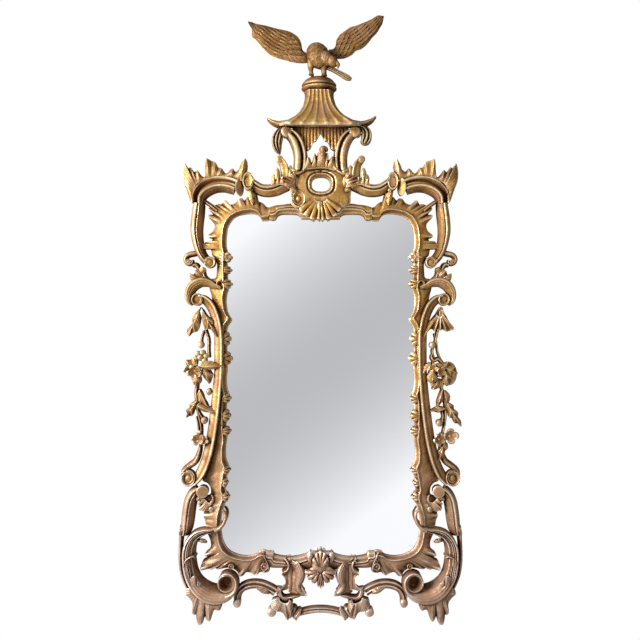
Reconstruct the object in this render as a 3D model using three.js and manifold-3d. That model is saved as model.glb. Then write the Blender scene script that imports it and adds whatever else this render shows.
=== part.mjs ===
// Carved giltwood pier mirror with a pagoda crest and a bird, built as a bench would:
// a jointed sight frame round one mirror plate, carved scrolls and leaves glued to it,
// pine boards behind, and two D-ring hangers.
// Millimetres. x runs across, z up, y back to the wall. The origin is the middle of the
// glass, on the wall plane that the backs of the frame share (y = 0); the front faces -y.

import * as THREE from 'three';
import { mergeVertices } from 'three/addons/utils/BufferGeometryUtils.js';
import Module from 'manifold-3d';

const wasm = await Module();
wasm.setup();

// ---------------------------------------------------------------- driving dimensions

const sightWidth = 500; // glass that shows, across
const sightHeight = 924; // glass that shows, up and down
const glueGap = 0.3; // glue line or free play between two pieces

const frameDepth = 24; // stiles, rails and corner blocks, from the wall forward
const mouldingRise = 15; // carved moulding, proud of the frame
const mouldingHalfWidth = 7;
const scrollBack = 6; // free scrolls and leaves keep this far off the wall

const scrollFront = 50; // faces of the carved layers, from the wall forward
const crownFront = 58;
const leafFront = 42;
const footFront = 60;
const crestFront = 54;

const plateThickness = 4;
const plateCoverSide = 27; // plate hidden under the frame at each side
const plateCoverEnd = 22; // and at the top and bottom
const boardThickness = 8;
const filletThickness = 5;
const filletWidth = 12;
const boardJoint = 60; // height of the joint between the two boards

const eaveHeight = 727; // eave of the pagoda roof, up from the middle of the glass
const roofHeight = 86; // eave to neck
const capHeight = 42;
const roofDepth = 104; // eave, from the wall forward
const neckDepth = 66;
const capDepth = 74;
const capHalfWidth = 49; // at its widest
const roofLean = -4; // the neck and cap lean to the left
const roofBack = 8; // back of the roof and cap, off the wall
const birdDepth = 46; // middle of the bird's body, from the wall
const wingThickness = 12;

const strapWidth = 14;
const strapThickness = 2;
const ringWire = 4.4;
const ringInside = 22; // clear width of the D
const ringReach = 24; // ring's axis to the far side of the D
const ringToScrew = 1; // play between the hanging ring and the upper screw head
const screwShank = 3;
const screwHead = 6.4;
const screwHeadHeight = 2;
const screwDepth = 14; // shank in the wood
const screwSpread = 11; // between the two screws of a strap
const strapEnd = 6; // lower screw to the end of the strap
const hangerOut = 38; // hanger, out from the side of the sight
const hangerUp = 37; // ring's axis, up from the top of the sight

// ---------------------------------------------------------------- the drawing

// The carver's drawing is full size for an opening of 500 by 924. On another opening the
// carving beside it keeps its size and moves out, and what runs along it stretches. These
// are the drawing's own measures: they change only when its outlines are drawn again.
const drawnSide = 250;
const drawnEnd = 462;
const drawnMiddle = 85; // the middle of the crest and apron never stretches
const drawnShoulder = 600; // the crest stretches from here up to the eave
const drawnEave = 727;

function across(x) {
  const out = Math.abs(x);
  const side = sightWidth / 2;
  if (out <= drawnMiddle) return x;
  if (out >= drawnSide) return Math.sign(x) * (out - drawnSide + side);
  const share = (out - drawnMiddle) / (drawnSide - drawnMiddle);
  return Math.sign(x) * (drawnMiddle + share * (side - drawnMiddle));
}

function upright(z) {
  const out = Math.abs(z);
  const end = sightHeight / 2;
  return Math.sign(z) * (out >= drawnEnd ? out - drawnEnd + end : (out * end) / drawnEnd);
}

const onFrame = ([x, z, ...sizes]) => [across(x), upright(z), ...sizes];

function crestUp(z) {
  const rise = Math.max(z - drawnShoulder, 0);
  const stretch = (eaveHeight - drawnShoulder) / (drawnEave - drawnShoulder);
  return upright(z - rise + rise * stretch);
}
const onCrest = ([x, z, ...sizes]) => [x, crestUp(z), ...sizes];

// ---------------------------------------------------------------- solids

function signedVolume(positions, index) {
  const corner = [new THREE.Vector3(), new THREE.Vector3(), new THREE.Vector3()];
  let sum = 0;
  for (let i = 0; i < index.length; i += 3) {
    corner.forEach((c, k) => c.fromArray(positions, index[i + k] * 3));
    sum += corner[0].dot(corner[1].cross(corner[2]));
  }
  return sum;
}

// A closed geometry becomes a solid with its faces pointing out.
function solidFrom(geometry) {
  geometry.deleteAttribute('normal');
  geometry.deleteAttribute('uv');
  const merged = mergeVertices(geometry, 1e-4);
  const vertProperties = new Float32Array(merged.attributes.position.array);
  const index = [];
  const all = merged.index.array;
  for (let i = 0; i < all.length; i += 3) {
    const [a, b, c] = [all[i], all[i + 1], all[i + 2]];
    if (a !== b && b !== c && c !== a) index.push(a, b, c);
  }
  if (signedVolume(vertProperties, index) < 0) index.reverse();
  const triVerts = new Uint32Array(index);
  return new wasm.Manifold(new wasm.Mesh({ numProp: 3, vertProperties, triVerts }));
}

function geometryOf(solid) {
  const mesh = solid.getMesh();
  const geometry = new THREE.BufferGeometry();
  const positions = new Float32Array(mesh.numVert * 3);
  for (let v = 0; v < mesh.numVert; v++) {
    for (let k = 0; k < 3; k++) positions[v * 3 + k] = mesh.vertProperties[v * mesh.numProp + k];
  }
  geometry.setAttribute('position', new THREE.BufferAttribute(positions, 3));
  geometry.setIndex(Array.from(mesh.triVerts));
  return geometry;
}

function meshOf(rows, faces) {
  const geometry = new THREE.BufferGeometry();
  geometry.setAttribute('position', new THREE.Float32BufferAttribute(rows.flat(), 3));
  geometry.setIndex(faces.flat());
  return solidFrom(geometry);
}

// A stack of rings with the same number of points, closed at both ends.
function loft(rings) {
  const count = rings[0].length;
  const rows = rings.flat();
  const faces = [];
  for (let r = 0; r + 1 < rings.length; r++) {
    for (let k = 0; k < count; k++) {
      const next = (k + 1) % count;
      const [a, b] = [r * count + k, r * count + next];
      faces.push([a, b, b + count], [a, b + count, a + count]);
    }
  }
  const last = (rings.length - 1) * count;
  for (let k = 1; k + 1 < count; k++) {
    faces.push([0, k + 1, k], [last, last + k, last + k + 1]);
  }
  return meshOf(rows, faces);
}

// Moves each corner of an outline out by one distance, along the bisector of its edges.
function outset(points, distance) {
  if (distance === 0) return points;
  const longest = 2.5;
  const turn = Math.sign(THREE.ShapeUtils.area(points.map(([x, z]) => new THREE.Vector2(x, z))));
  return points.map(([x, z], i) => {
    const before = points[(i + points.length - 1) % points.length];
    const after = points[(i + 1) % points.length];
    const into = new THREE.Vector2(x - before[0], z - before[1]).normalize();
    const away = new THREE.Vector2(after[0] - x, after[1] - z).normalize();
    const normal = new THREE.Vector2(into.y + away.y, -into.x - away.x).normalize();
    const reach = 1 / Math.max(1 / longest, normal.dot(new THREE.Vector2(into.y, -into.x)));
    return [x + normal.x * distance * reach * turn, z + normal.y * distance * reach * turn];
  });
}

// Outer outlines run anticlockwise seen from the front, holes the other way.
function wound(points, anticlockwise) {
  const area = THREE.ShapeUtils.area(points.map((p) => new THREE.Vector2(p[0], p[1])));
  return area > 0 === anticlockwise ? points : [...points].reverse();
}

// Leaves out the points that lie on a straight line between their neighbours.
function corners(points) {
  return points.filter(([x, z], i) => {
    const [x0, z0] = points[(i + points.length - 1) % points.length];
    const [x1, z1] = points[(i + 1) % points.length];
    return Math.abs((x - x0) * (z1 - z) - (x1 - x) * (z - z0)) > 1e-6;
  });
}

// A carved outline with flat back and face, and an optional slope round the face.
function relief(outline, { front, back = scrollBack, slope = 0, holes = [] }) {
  return (grow) => {
    const loops = [wound(outline, true), ...holes.map((h) => wound(h, false))].map(corners);
    const levels = [[-back + grow, 0]];
    if (slope > 0) levels.push([-front + slope - grow, 0]);
    levels.push([-front - grow, -slope]);
    const rings = levels.map(([, inset]) => loops.map((loop, n) => (
      outset(loop, n === 0 ? grow + inset : -grow - inset)
    )));
    const rows = levels.flatMap(([y], l) => rings[l].flat().map(([x, z]) => [x, y, z]));
    const layer = loops.flat().length;
    const faces = [];
    for (let l = 0; l + 1 < levels.length; l++) {
      let start = l * layer;
      for (const loop of loops) {
        for (let k = 0; k < loop.length; k++) {
          const [a, b] = [start + k, start + ((k + 1) % loop.length)];
          faces.push([a, b, b + layer], [a, b + layer, a + layer]);
        }
        start += loop.length;
      }
    }
    const [contour, ...inner] = rings[0].map((ring) => ring.map((p) => new THREE.Vector2(...p)));
    const flat = [contour, ...inner].flat();
    const top = (levels.length - 1) * layer;
    for (const [a, b, c] of THREE.ShapeUtils.triangulateShape(contour, inner)) {
      const ahead = THREE.ShapeUtils.area([flat[a], flat[b], flat[c]]) > 0;
      const [p, q] = ahead ? [b, c] : [c, b];
      faces.push([a, q, p], [a + top, p + top, q + top]);
    }
    return meshOf(rows, faces);
  };
}

// A smooth line through drawn points [x, z, ...sizes], in equal steps.
function smooth(points, perSpan) {
  const curve = new THREE.CatmullRomCurve3(
    points.map(([x, z]) => new THREE.Vector3(x, 0, z)),
    false,
    'centripetal',
  );
  const spans = points.length - 1;
  const rows = [];
  for (let i = 0; i <= spans * perSpan; i++) {
    const t = i / (spans * perSpan);
    const from = Math.min(Math.floor(t * spans), spans - 1);
    const share = t * spans - from;
    const at = curve.getPoint(t);
    const along = curve.getTangent(t);
    const sizes = points[from].slice(2).map((s, k) => s + (points[from + 1][k + 2] - s) * share);
    rows.push({ x: at.x, z: at.z, along: new THREE.Vector2(along.x, along.z), sizes });
  }
  return rows;
}

// A carved band along a line of [x, z, half width]: upright sides and a rounded face.
function band(line, { front, back = scrollBack, perSpan = 2, crown = 0.4 }) {
  return (grow) => {
    const rows = smooth(line, perSpan);
    const rings = rows.map(({ x, z, along, sizes }, i) => {
      const half = sizes[0] + grow;
      const fall = sizes[0] * crown;
      const end = i === 0 ? -grow : i === rows.length - 1 ? grow : 0;
      const [cx, cz] = [x + along.x * end, z + along.y * end];
      const section = [
        [-half, -back + grow],
        [half, -back + grow],
        [half, -front + fall - grow],
        [half * 0.45, -front - grow],
        [-half * 0.45, -front - grow],
        [-half, -front + fall - grow],
      ];
      return section.map(([s, y]) => [cx + along.y * s, y, cz - along.x * s]);
    });
    return loft(rings);
  };
}

// A turned boss with its axis front to back: the eye of a scroll, a berry or a flower.
function boss(x, z, radius, { front, back = scrollBack, sides = 10, crown = 0.35 }) {
  return (grow) => {
    const r = radius + grow;
    const profile = [
      [0, -back + grow],
      [r, -back + grow],
      [r, -front + radius * crown - grow],
      [r * 0.6, -front - grow],
      [0, -front - grow],
    ];
    const turned = new THREE.LatheGeometry(profile.map((p) => new THREE.Vector2(...p)), sides);
    return solidFrom(turned.translate(x, 0, z));
  };
}

// A round bar through points in space, with a radius at each.
function bar(points, { sides = 6 } = {}) {
  return (grow) => {
    const at = points.map(([x, y, z]) => new THREE.Vector3(x, y, z));
    const side = new THREE.Vector3();
    const rings = at.map((p, i) => {
      const from = at[Math.max(i - 1, 0)];
      const to = at[Math.min(i + 1, at.length - 1)];
      const along = to.clone().sub(from).normalize();
      if (i === 0) {
        const spare = Math.abs(along.y) > 0.9 ? new THREE.Vector3(1, 0, 0) : new THREE.Vector3(0, 1, 0);
        side.copy(spare);
      }
      side.addScaledVector(along, -side.dot(along)).normalize();
      const other = along.clone().cross(side);
      const end = i === 0 ? -grow : i === at.length - 1 ? grow : 0;
      const centre = p.clone().addScaledVector(along, end);
      const radius = points[i][3] + grow;
      return Array.from({ length: sides }, (_, k) => {
        const angle = ((k + 0.5) / sides) * 2 * Math.PI;
        const out = centre.clone();
        out.addScaledVector(side, Math.cos(angle) * radius);
        out.addScaledVector(other, Math.sin(angle) * radius);
        return out.toArray();
      });
    });
    return loft(rings);
  };
}

function block([x0, y0, z0], [x1, y1, z1]) {
  return (grow) => {
    const shape = new THREE.BoxGeometry(x1 - x0 + 2 * grow, y1 - y0 + 2 * grow, z1 - z0 + 2 * grow);
    return solidFrom(shape.translate((x0 + x1) / 2, (y0 + y1) / 2, (z0 + z1) / 2));
  };
}

function egg([x, y, z], [rx, ry, rz]) {
  return (grow) => {
    const shape = new THREE.SphereGeometry(1, 10, 7);
    shape.scale(rx + grow, ry + grow, rz + grow);
    return solidFrom(shape.translate(x, y, z));
  };
}

// ---------------------------------------------------------------- fitting pieces together

const join = (solids) => solids.reduce((whole, next) => whole.add(next));

function mirrored(solid) {
  const geometry = geometryOf(solid);
  geometry.scale(-1, 1, 1);
  return solidFrom(geometry);
}

// A fitted piece: its parts joined, with the pieces already in place cut out of it and a
// glue line left all round. The chips that a cut leaves at an edge are swept away.
function fit(parts, against = [], cuts = []) {
  let solid = join(parts.map((part) => part(0)));
  let reach = join(parts.map((part) => part(glueGap)));
  for (const other of against) {
    solid = solid.subtract(other.reach);
    reach = reach.subtract(other.solid);
  }
  for (const cut of cuts) solid = solid.subtract(cut(0));
  const bodies = solid.decompose();
  bodies.sort((a, b) => b.volume() - a.volume());
  return { solid: bodies[0], reach };
}

const otherSide = (piece) => ({ solid: mirrored(piece.solid), reach: mirrored(piece.reach) });

const model = new THREE.Group();
model.name = 'pier_mirror';

function finish(color, roughness, metalness) {
  return new THREE.MeshStandardMaterial({ color, roughness, metalness, flatShading: true });
}

const gilding = finish(0xb08a4a, 0.42, 0.85);
const pine = finish(0xa9835a, 0.8, 0);
const silvered = finish(0xd5d9dd, 0.04, 1);
const brass = finish(0xb59a5a, 0.35, 1);
const steel = finish(0x8b8d90, 0.4, 1);

function add(name, piece, material) {
  const mesh = new THREE.Mesh(geometryOf(piece.solid), material);
  mesh.name = name;
  model.add(mesh);
  return piece;
}

// A piece and its mirror image on the other side of the frame.
function addPair(name, piece, material) {
  const opposite = otherSide(piece);
  add(`right_${name}`, piece, material);
  add(`left_${name}`, opposite, material);
  return [piece, opposite];
}

// ---------------------------------------------------------------- glass, fillets and boards

const plateHalfWidth = sightWidth / 2 + plateCoverSide;
const plateHalfHeight = sightHeight / 2 + plateCoverEnd;
const filletBack = boardThickness + glueGap;
const filletFront = filletBack + filletThickness;
const plateBack = filletFront + glueGap;
const plateFront = plateBack + plateThickness;
const passBack = 2; // cutters run this far past the wall plane

const plate = block(
  [-plateHalfWidth, -plateFront, -plateHalfHeight],
  [plateHalfWidth, -plateBack, plateHalfHeight],
);
add('mirror_plate', fit([plate]), silvered);

function boardBetween(low, high) {
  return block([-plateHalfWidth, -boardThickness, low], [plateHalfWidth, 0, high]);
}
add('lower_backboard', fit([boardBetween(-plateHalfHeight, boardJoint - glueGap / 2)]), pine);
add('upper_backboard', fit([boardBetween(boardJoint + glueGap / 2, plateHalfHeight)]), pine);

const filletEnd = plateHalfHeight - filletWidth;
const endFillet = block(
  [-plateHalfWidth, -filletFront, filletEnd],
  [plateHalfWidth, -filletBack, plateHalfHeight],
);
const footFillet = block(
  [-plateHalfWidth, -filletFront, -plateHalfHeight],
  [plateHalfWidth, -filletBack, -filletEnd],
);
const sideFillet = block(
  [plateHalfWidth - filletWidth, -filletFront, glueGap - filletEnd],
  [plateHalfWidth, -filletBack, filletEnd - glueGap],
);
add('top_glazing_fillet', fit([endFillet]), pine);
add('bottom_glazing_fillet', fit([footFillet]), pine);
addPair('glazing_fillet', fit([sideFillet]), pine);

// The rebate that holds them runs through stiles, rails and corner blocks.
const rebate = block(
  [-plateHalfWidth - glueGap, -plateFront - glueGap, -plateHalfHeight - glueGap],
  [plateHalfWidth + glueGap, passBack, plateHalfHeight + glueGap],
);

// ---------------------------------------------------------------- sight frame

const mouldingFront = frameDepth + mouldingRise;
const mouldingRoot = frameDepth - 3;

// The flat carved body of one frame piece, and the moulding that follows the glass on it.
function framePiece(outline, ridge, against, cuts = []) {
  const body = relief(outline.map(onFrame), { front: frameDepth, back: 0, slope: 3 });
  const line = ridge.map(([x, z]) => [...onFrame([x, z]), mouldingHalfWidth]);
  const moulding = band(line, { front: mouldingFront, back: mouldingRoot, perSpan: 1, crown: 0.9 });
  return fit([body, moulding], against, [rebate, ...cuts]);
}

const wholeOutline = (half) => {
  const other = half.filter(([x]) => x > 0).map(([x, z]) => [-x, z]);
  return [...half, ...other.reverse()];
};

// Hangers: their screws bite into the corner blocks beside the rebate.
const hangerX = sightWidth / 2 + hangerOut;
const hangerZ = sightHeight / 2 + hangerUp;
const barrelRadius = ringWire / 2 + glueGap + strapThickness;
const hangerAxisY = glueGap + barrelRadius;
const upperScrewZ = hangerZ - ringReach - ringToScrew - screwHead / 2;
const screwHeights = { lower: upperScrewZ - screwSpread, upper: upperScrewZ };
const strapLength = hangerZ - screwHeights.lower + strapEnd;
const pilotHoles = Object.values(screwHeights).map((z) => bar([
  [hangerX, passBack, z, screwShank / 2 + glueGap],
  [hangerX, -screwDepth - glueGap, z, screwShank / 2 + glueGap],
], { sides: 8 }));

const upperCornerOutline = [
  [141, 463], [145, 460], [160, 460], [164, 466], [172, 475], [187, 479], [206, 478],
  [225, 474], [238, 467], [248, 455], [255, 440], [258, 420], [259, 400], [257, 386],
  [250, 376], [243, 368], [243, 355], [249, 349], [256, 343], [256, 338], [285, 338],
  [287, 347], [292, 358], [299, 366], [303, 382], [316, 384], [331, 383], [330, 397],
  [321, 397], [314, 404], [301, 405], [299, 411], [309, 415], [308, 422], [300, 428],
  [294, 436], [292, 449], [297, 457], [309, 471], [306, 477], [296, 478], [300, 484],
  [308, 490], [307, 496], [302, 500], [311, 503], [318, 507], [322, 513], [317, 519],
  [305, 510], [292, 503], [283, 507], [273, 506], [268, 515], [262, 517], [255, 511],
  [248, 505], [240, 507], [233, 511], [226, 520], [216, 522], [210, 517], [203, 524],
  [197, 530], [193, 545], [189, 556], [183, 556], [178, 540], [174, 529], [171, 515],
  [162, 511], [155, 506], [149, 499], [141, 497],
];
const upperCornerRidge = [
  [150, 478], [162, 486], [176, 490], [192, 491], [210, 489], [230, 485], [247, 477],
  [259, 462], [267, 442], [270, 420], [271, 400], [268, 382], [260, 366], [264, 338],
];
const upperCorner = framePiece(upperCornerOutline, upperCornerRidge, [], pilotHoles);
const upperCorners = addPair('upper_corner_block', upperCorner, gilding);

const stileOutline = [
  [256, 338], [246, 332], [243, 325], [247, 316], [254, 310], [246, 298], [244, 288],
  [243, 276], [252, 269], [257, 258], [259, 240], [256, 212], [249, 198], [243, 188],
  [248, 178], [255, 168], [257, 157], [250, 147], [246, 133], [254, 122], [257, 114],
  [250, 99], [243, 84], [246, 70], [250, 55], [257, 42], [258, 20], [255, -3], [245, -21],
  [250, -42], [258, -57], [248, -70], [248, -80], [258, -93], [260, -103], [249, -114],
  [246, -125], [255, -138], [261, -165], [260, -195], [247, -222], [257, -238], [254, -266],
  [262, -279], [253, -288], [250, -304], [258, -315], [264, -322], [330, -322], [331, -312],
  [322, -302], [304, -294], [303, -275], [312, -262], [325, -255], [318, -235], [308, -205],
  [303, -180], [298, -140], [294, -100], [290, -50], [288, 0], [287, 60], [288, 120],
  [290, 180], [294, 215], [300, 250], [306, 275], [306, 297], [289, 303], [286, 316],
  [285, 338],
];
const stileRidge = [
  [264, 338], [261, 300], [267, 250], [263, 195], [266, 162], [262, 133], [265, 110],
  [260, 80], [266, 20], [260, -20], [266, -55], [262, -78], [268, -103], [263, -125],
  [270, -170], [262, -225], [268, -260], [270, -285], [277, -322],
];
const stile = framePiece(stileOutline, stileRidge, [upperCorner]);
const stiles = addPair('sight_stile', stile, gilding);

const lowerCornerOutline = [
  [264, -322], [268, -336], [272, -350], [274, -368], [274, -385], [272, -402], [269, -418],
  [263, -432], [255, -444], [243, -453], [225, -460], [205, -463], [188, -461], [175, -457],
  [166, -449], [150, -449], [150, -478], [141, -483], [139, -498], [144, -507], [157, -509],
  [167, -508], [175, -515], [183, -515], [193, -510], [205, -509], [213, -517], [223, -518],
  [229, -508], [238, -500], [250, -496], [265, -497], [283, -499], [290, -497], [300, -501],
  [311, -499], [322, -502], [331, -500], [329, -488], [324, -476], [317, -473], [308, -469],
  [319, -461], [315, -453], [306, -445], [302, -432], [305, -416], [311, -402], [316, -382],
  [318, -366], [323, -352], [322, -341], [333, -337], [334, -325], [330, -322],
];
const lowerCornerRidge = [
  [277, -322], [283, -340], [287, -365], [288, -385], [286, -405], [282, -425], [274, -442],
  [262, -456], [245, -467], [225, -473], [205, -475], [185, -473], [165, -466], [151, -462],
];
const lowerCorner = framePiece(lowerCornerOutline, lowerCornerRidge, [stile]);
const lowerCorners = addPair('lower_corner_block', lowerCorner, gilding);

const topRailHalf = [
  [0, 507], [82, 507], [100, 505], [125, 502], [141, 497], [141, 463], [134, 460],
  [124, 462], [121, 467], [116, 473], [105, 477], [75, 477], [62, 475], [53, 468],
  [50, 464], [0, 464],
];
const topRailRidge = [
  [-141, 474], [-125, 484], [-100, 489], [-50, 491], [50, 491], [100, 489], [125, 484],
  [141, 474],
];
const topRail = framePiece(wholeOutline(topRailHalf), topRailRidge, upperCorners);
add('top_rail', topRail, gilding);

const bottomRailHalf = [
  [0, -452], [22, -450], [30, -452], [45, -458], [60, -462], [85, -465], [105, -463],
  [120, -460], [127, -457], [129, -449], [150, -449], [150, -478], [140, -482],
  [139, -493], [97, -495], [60, -498], [0, -500],
];
const bottomRailRidge = [
  [-151, -462], [-120, -470], [-90, -474], [-45, -470], [45, -470], [90, -474],
  [120, -470], [151, -462],
];
const bottomRail = framePiece(wholeOutline(bottomRailHalf), bottomRailRidge, lowerCorners);
add('bottom_rail', bottomRail, gilding);

// ---------------------------------------------------------------- carving down each side

// Carving is glued on in front of the frame and never stands in the rebate.
const carve = (parts, against) => fit(parts, against, [rebate]);

const line = (points) => points.map(onFrame);
const scroll = (points, sizes) => band(line(points), { front: scrollFront, perSpan: 1, ...sizes });
const leaf = (points, sizes) => relief(line(points), { front: leafFront, slope: 2, ...sizes });
const eye = (x, z, radius, sizes) => boss(...onFrame([x, z]), radius, {
  front: scrollFront, ...sizes,
});

const longScroll = carve([
  scroll([
    [338, 243, 9], [320, 239, 11], [303, 225, 12], [291, 200, 13], [284, 172, 13],
    [280, 140, 13], [280, 60, 13], [282, 20, 13], [286, -25, 13], [291, -70, 14],
    [297, -115, 14], [304, -155, 14], [313, -192, 14], [326, -226, 14], [345, -250, 14],
  ]),
  eye(338, 243, 15),
  eye(364, -246, 20),
  scroll([[329, -150, 4], [334, -178, 7], [345, -202, 9], [364, -216, 10], [378, -232, 7]],
    { front: leafFront }),
], [stile]);
addPair('long_side_scroll', longScroll, gilding);

const crownScroll = carve([
  scroll([
    [334, 507, 14], [332, 525, 16], [322, 541, 18], [306, 553, 20], [286, 561, 22],
    [264, 562, 22], [244, 556, 18], [230, 550, 15],
  ], { front: crownFront }),
  eye(224, 548, 17, { front: crownFront }),
], [upperCorner]);
const crownScrolls = addPair('crown_scroll', crownScroll, gilding);

const upperScroll = carve([
  scroll([
    [334, 506, 15], [336, 480, 18], [340, 455, 18], [341, 430, 17], [339, 405, 15],
    [333, 382, 13], [323, 362, 13], [308, 348, 13],
  ]),
  eye(303, 345, 16),
  scroll([[331, 378, 7], [346, 368, 9], [360, 358, 9]], { front: leafFront }),
  eye(360, 348, 14),
  scroll([[352, 352, 8], [342, 344, 8], [333, 334, 7], [331, 322, 6]], { front: leafFront }),
], [upperCorner, stile, crownScroll]);
addPair('upper_side_scroll', upperScroll, gilding);

const crownLeaves = carve([
  leaf([
    [352, 507], [357, 522], [363, 542], [368, 560], [373, 582], [374, 600], [371, 613],
    [363, 609], [352, 604], [345, 594], [339, 597], [332, 592], [322, 583], [317, 581],
    [314, 588], [314, 603], [312, 618], [310, 626], [299, 622], [288, 618], [282, 610],
    [272, 603], [265, 594], [258, 590], [250, 595], [242, 601], [236, 598], [231, 599],
    [225, 609], [217, 616], [209, 626], [204, 626], [201, 611], [203, 597], [208, 588],
    [214, 574], [221, 566], [240, 576], [262, 579], [285, 576], [308, 566], [328, 550],
    [338, 530], [344, 507],
  ], { front: scrollFront }),
], [crownScroll, upperScroll]);
const crownLeafPair = addPair('crown_leaves', crownLeaves, gilding);

const shoulderLeaf = carve([
  leaf([
    [324, 336], [340, 330], [343, 315], [345, 306], [352, 309], [358, 313], [364, 307],
    [362, 298], [366, 289], [369, 268], [367, 246], [359, 232], [346, 226], [352, 240],
    [354, 256], [348, 270], [333, 281], [315, 283], [300, 276], [288, 273], [276, 277],
    [267, 286], [266, 294], [273, 298], [280, 291], [290, 290], [300, 297], [315, 300],
    [319, 312], [321, 325],
  ], { front: scrollFront }),
], [upperScroll, longScroll, stile]);
addPair('shoulder_leaf', shoulderLeaf, gilding);

const lowerOuterScroll = carve([
  scroll([
    [324, -276, 12], [338, -276, 15], [351, -290, 17], [359, -315, 18], [363, -345, 18],
    [366, -375, 18], [373, -400, 12],
  ]),
  eye(323, -282, 17),
  scroll([
    [379, -376, 9], [383, -400, 8], [386, -430, 6], [387, -465, 6], [383, -500, 6],
    [374, -530, 6], [359, -558, 6], [343, -580, 6],
  ], { front: leafFront }),
], [longScroll, stile, lowerCorner]);
addPair('lower_outer_scroll', lowerOuterScroll, gilding);

const lowerScroll = carve([
  scroll([
    [318, -391, 9], [340, -401, 11], [355, -420, 14], [362, -445, 15], [362, -475, 17],
    [357, -505, 19], [345, -532, 21], [325, -554, 24], [300, -567, 25], [272, -566, 22],
    [248, -548, 18],
  ], { front: footFront }),
  eye(254, -530, 27, { front: footFront }),
  scroll([
    [320, -391, 9], [297, -389, 7], [277, -382, 6], [264, -368, 5], [259, -352, 5],
    [261, -340, 5], [268, -332, 6],
  ], { front: footFront, back: mouldingFront + glueGap }),
  leaf([[354, -452], [342, -456], [341, -465], [346, -474], [354, -482]]),
], [lowerOuterScroll, lowerCorner]);
addPair('lower_c_scroll', lowerScroll, gilding);

const footLeaf = carve([
  leaf([
    [356, -545], [366, -552], [369, -563], [360, -572], [350, -580], [347, -592],
    [347, -602], [351, -611], [347, -618], [341, -618], [339, -630], [337, -649],
    [328, -648], [323, -636], [312, -638], [304, -634], [303, -622], [298, -612],
    [290, -607], [275, -607], [271, -598], [275, -588], [300, -583], [330, -566],
  ], { front: scrollFront }),
], [lowerOuterScroll, lowerScroll]);
addPair('foot_leaf', footLeaf, gilding);

// ---------------------------------------------------------------- flower garlands

// The two garlands were carved freely, so each side has its own leaves and flowers.
const garlandBack = 16;
const flowerFront = 50;
const stem = (points) => scroll(points, { front: leafFront - 4, back: garlandBack, crown: 0.6 });
const spray = (points) => leaf(points, { back: garlandBack });
const flower = (x, z, radius) => eye(x, z, radius, { front: flowerFront, back: garlandBack });

const rightGarland = carve([
  spray([
    [330, 224], [345, 200], [355, 172], [366, 163], [352, 152], [322, 152], [300, 150],
    [282, 138], [284, 150], [298, 175], [312, 195], [322, 222],
  ]),
  stem([[325, 160, 5], [313, 130, 4], [301, 95, 4], [303, 70, 5], [306, 40, 6]]),
  flower(308, 117, 9),
  flower(354, 44, 21),
  flower(306, 36, 20),
  stem([[354, 44, 7], [330, 30, 7], [320, 0, 6], [319, -30, 5], [330, -56, 5], [330, -92, 4],
    [337, -125, 5], [330, -160, 5], [324, -178, 5]]),
  spray([
    [330, -45], [345, -32], [358, -36], [376, -60], [385, -85], [384, -103], [377, -105],
    [362, -88], [345, -75], [330, -64],
  ]),
  spray([[335, -50], [318, -50], [298, -60], [298, -68], [318, -68], [333, -64]]),
  flower(330, -93, 9),
  flower(357, -130, 20),
  flower(322, -140, 14),
  spray([[322, -150], [340, -158], [342, -172], [332, -190], [324, -196], [316, -180]]),
], [longScroll, stile, shoulderLeaf]);
add('right_garland', rightGarland, gilding);

const leftGarland = otherSide(carve([
  spray([
    [332, 222], [345, 200], [356, 184], [368, 160], [362, 144], [345, 153], [318, 150],
    [300, 145], [284, 139], [286, 160], [296, 184], [312, 192], [322, 205],
  ]),
  stem([[320, 155, 5], [309, 128, 4], [308, 102, 4], [322, 88, 5], [338, 60, 8]]),
  flower(325, 122, 9),
  flower(338, 54, 32),
  flower(312, 45, 18),
  flower(328, 95, 9),
  spray([[320, 70], [300, 72], [276, 66], [268, 60], [290, 54], [312, 52]]),
  stem([[338, 40, 6], [345, 8, 5], [347, -18, 4], [344, -42, 4], [334, -72, 5], [324, -100, 5],
    [326, -135, 6]]),
  spray([[348, 0], [320, -3], [300, 2], [293, -10], [308, -21], [330, -18], [347, -14]]),
  spray([[340, -38], [356, -44], [370, -62], [372, -78], [355, -74], [338, -66]]),
  spray([[337, -46], [310, -44], [290, -62], [286, -76], [304, -72], [333, -62]]),
  flower(321, -90, 9),
  flower(326, -140, 22),
], [longScroll, stile, shoulderLeaf]));
add('left_garland', leftGarland, gilding);

// ---------------------------------------------------------------- apron

const apronScroll = carve([
  scroll([
    [229, -588, 10], [228, -567, 11], [218, -553, 12], [203, -544, 13], [183, -540, 13],
    [162, -542, 13], [142, -550, 14], [126, -560, 14],
  ], { front: leafFront }),
  eye(229, -589, 11, { front: leafFront }),
], [lowerScroll, lowerCorner]);
const apronScrolls = addPair('apron_scroll', apronScroll, gilding);

const apronBracketOutline = [
  [98, -500], [92, -492], [92, -484], [97, -476], [90, -468], [78, -470], [64, -478],
  [52, -490], [42, -500], [40, -514], [44, -522], [51, -530], [52, -541], [47, -552],
  [42, -560], [37, -567], [58, -568], [61, -576], [70, -580], [76, -584], [77, -596],
  [71, -601], [58, -604], [54, -612], [58, -622], [58, -634], [70, -637], [79, -629],
  [88, -634], [92, -623], [101, -616], [112, -611], [120, -612], [124, -620], [133, -626],
  [144, -622], [147, -611], [141, -603], [133, -600], [134, -588], [132, -577],
  [122, -564], [112, -552], [104, -546], [96, -536], [97, -525], [104, -513], [105, -506],
];
const apronBracketHole = [
  [78, -562], [86, -557], [97, -555], [103, -561], [101, -569], [90, -570], [80, -569],
];
const apronBracket = carve([
  leaf(apronBracketOutline, { front: scrollFront, holes: [line(apronBracketHole)] }),
], [bottomRail, apronScroll]);
const apronBrackets = addPair('apron_bracket', apronBracket, gilding);

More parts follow.
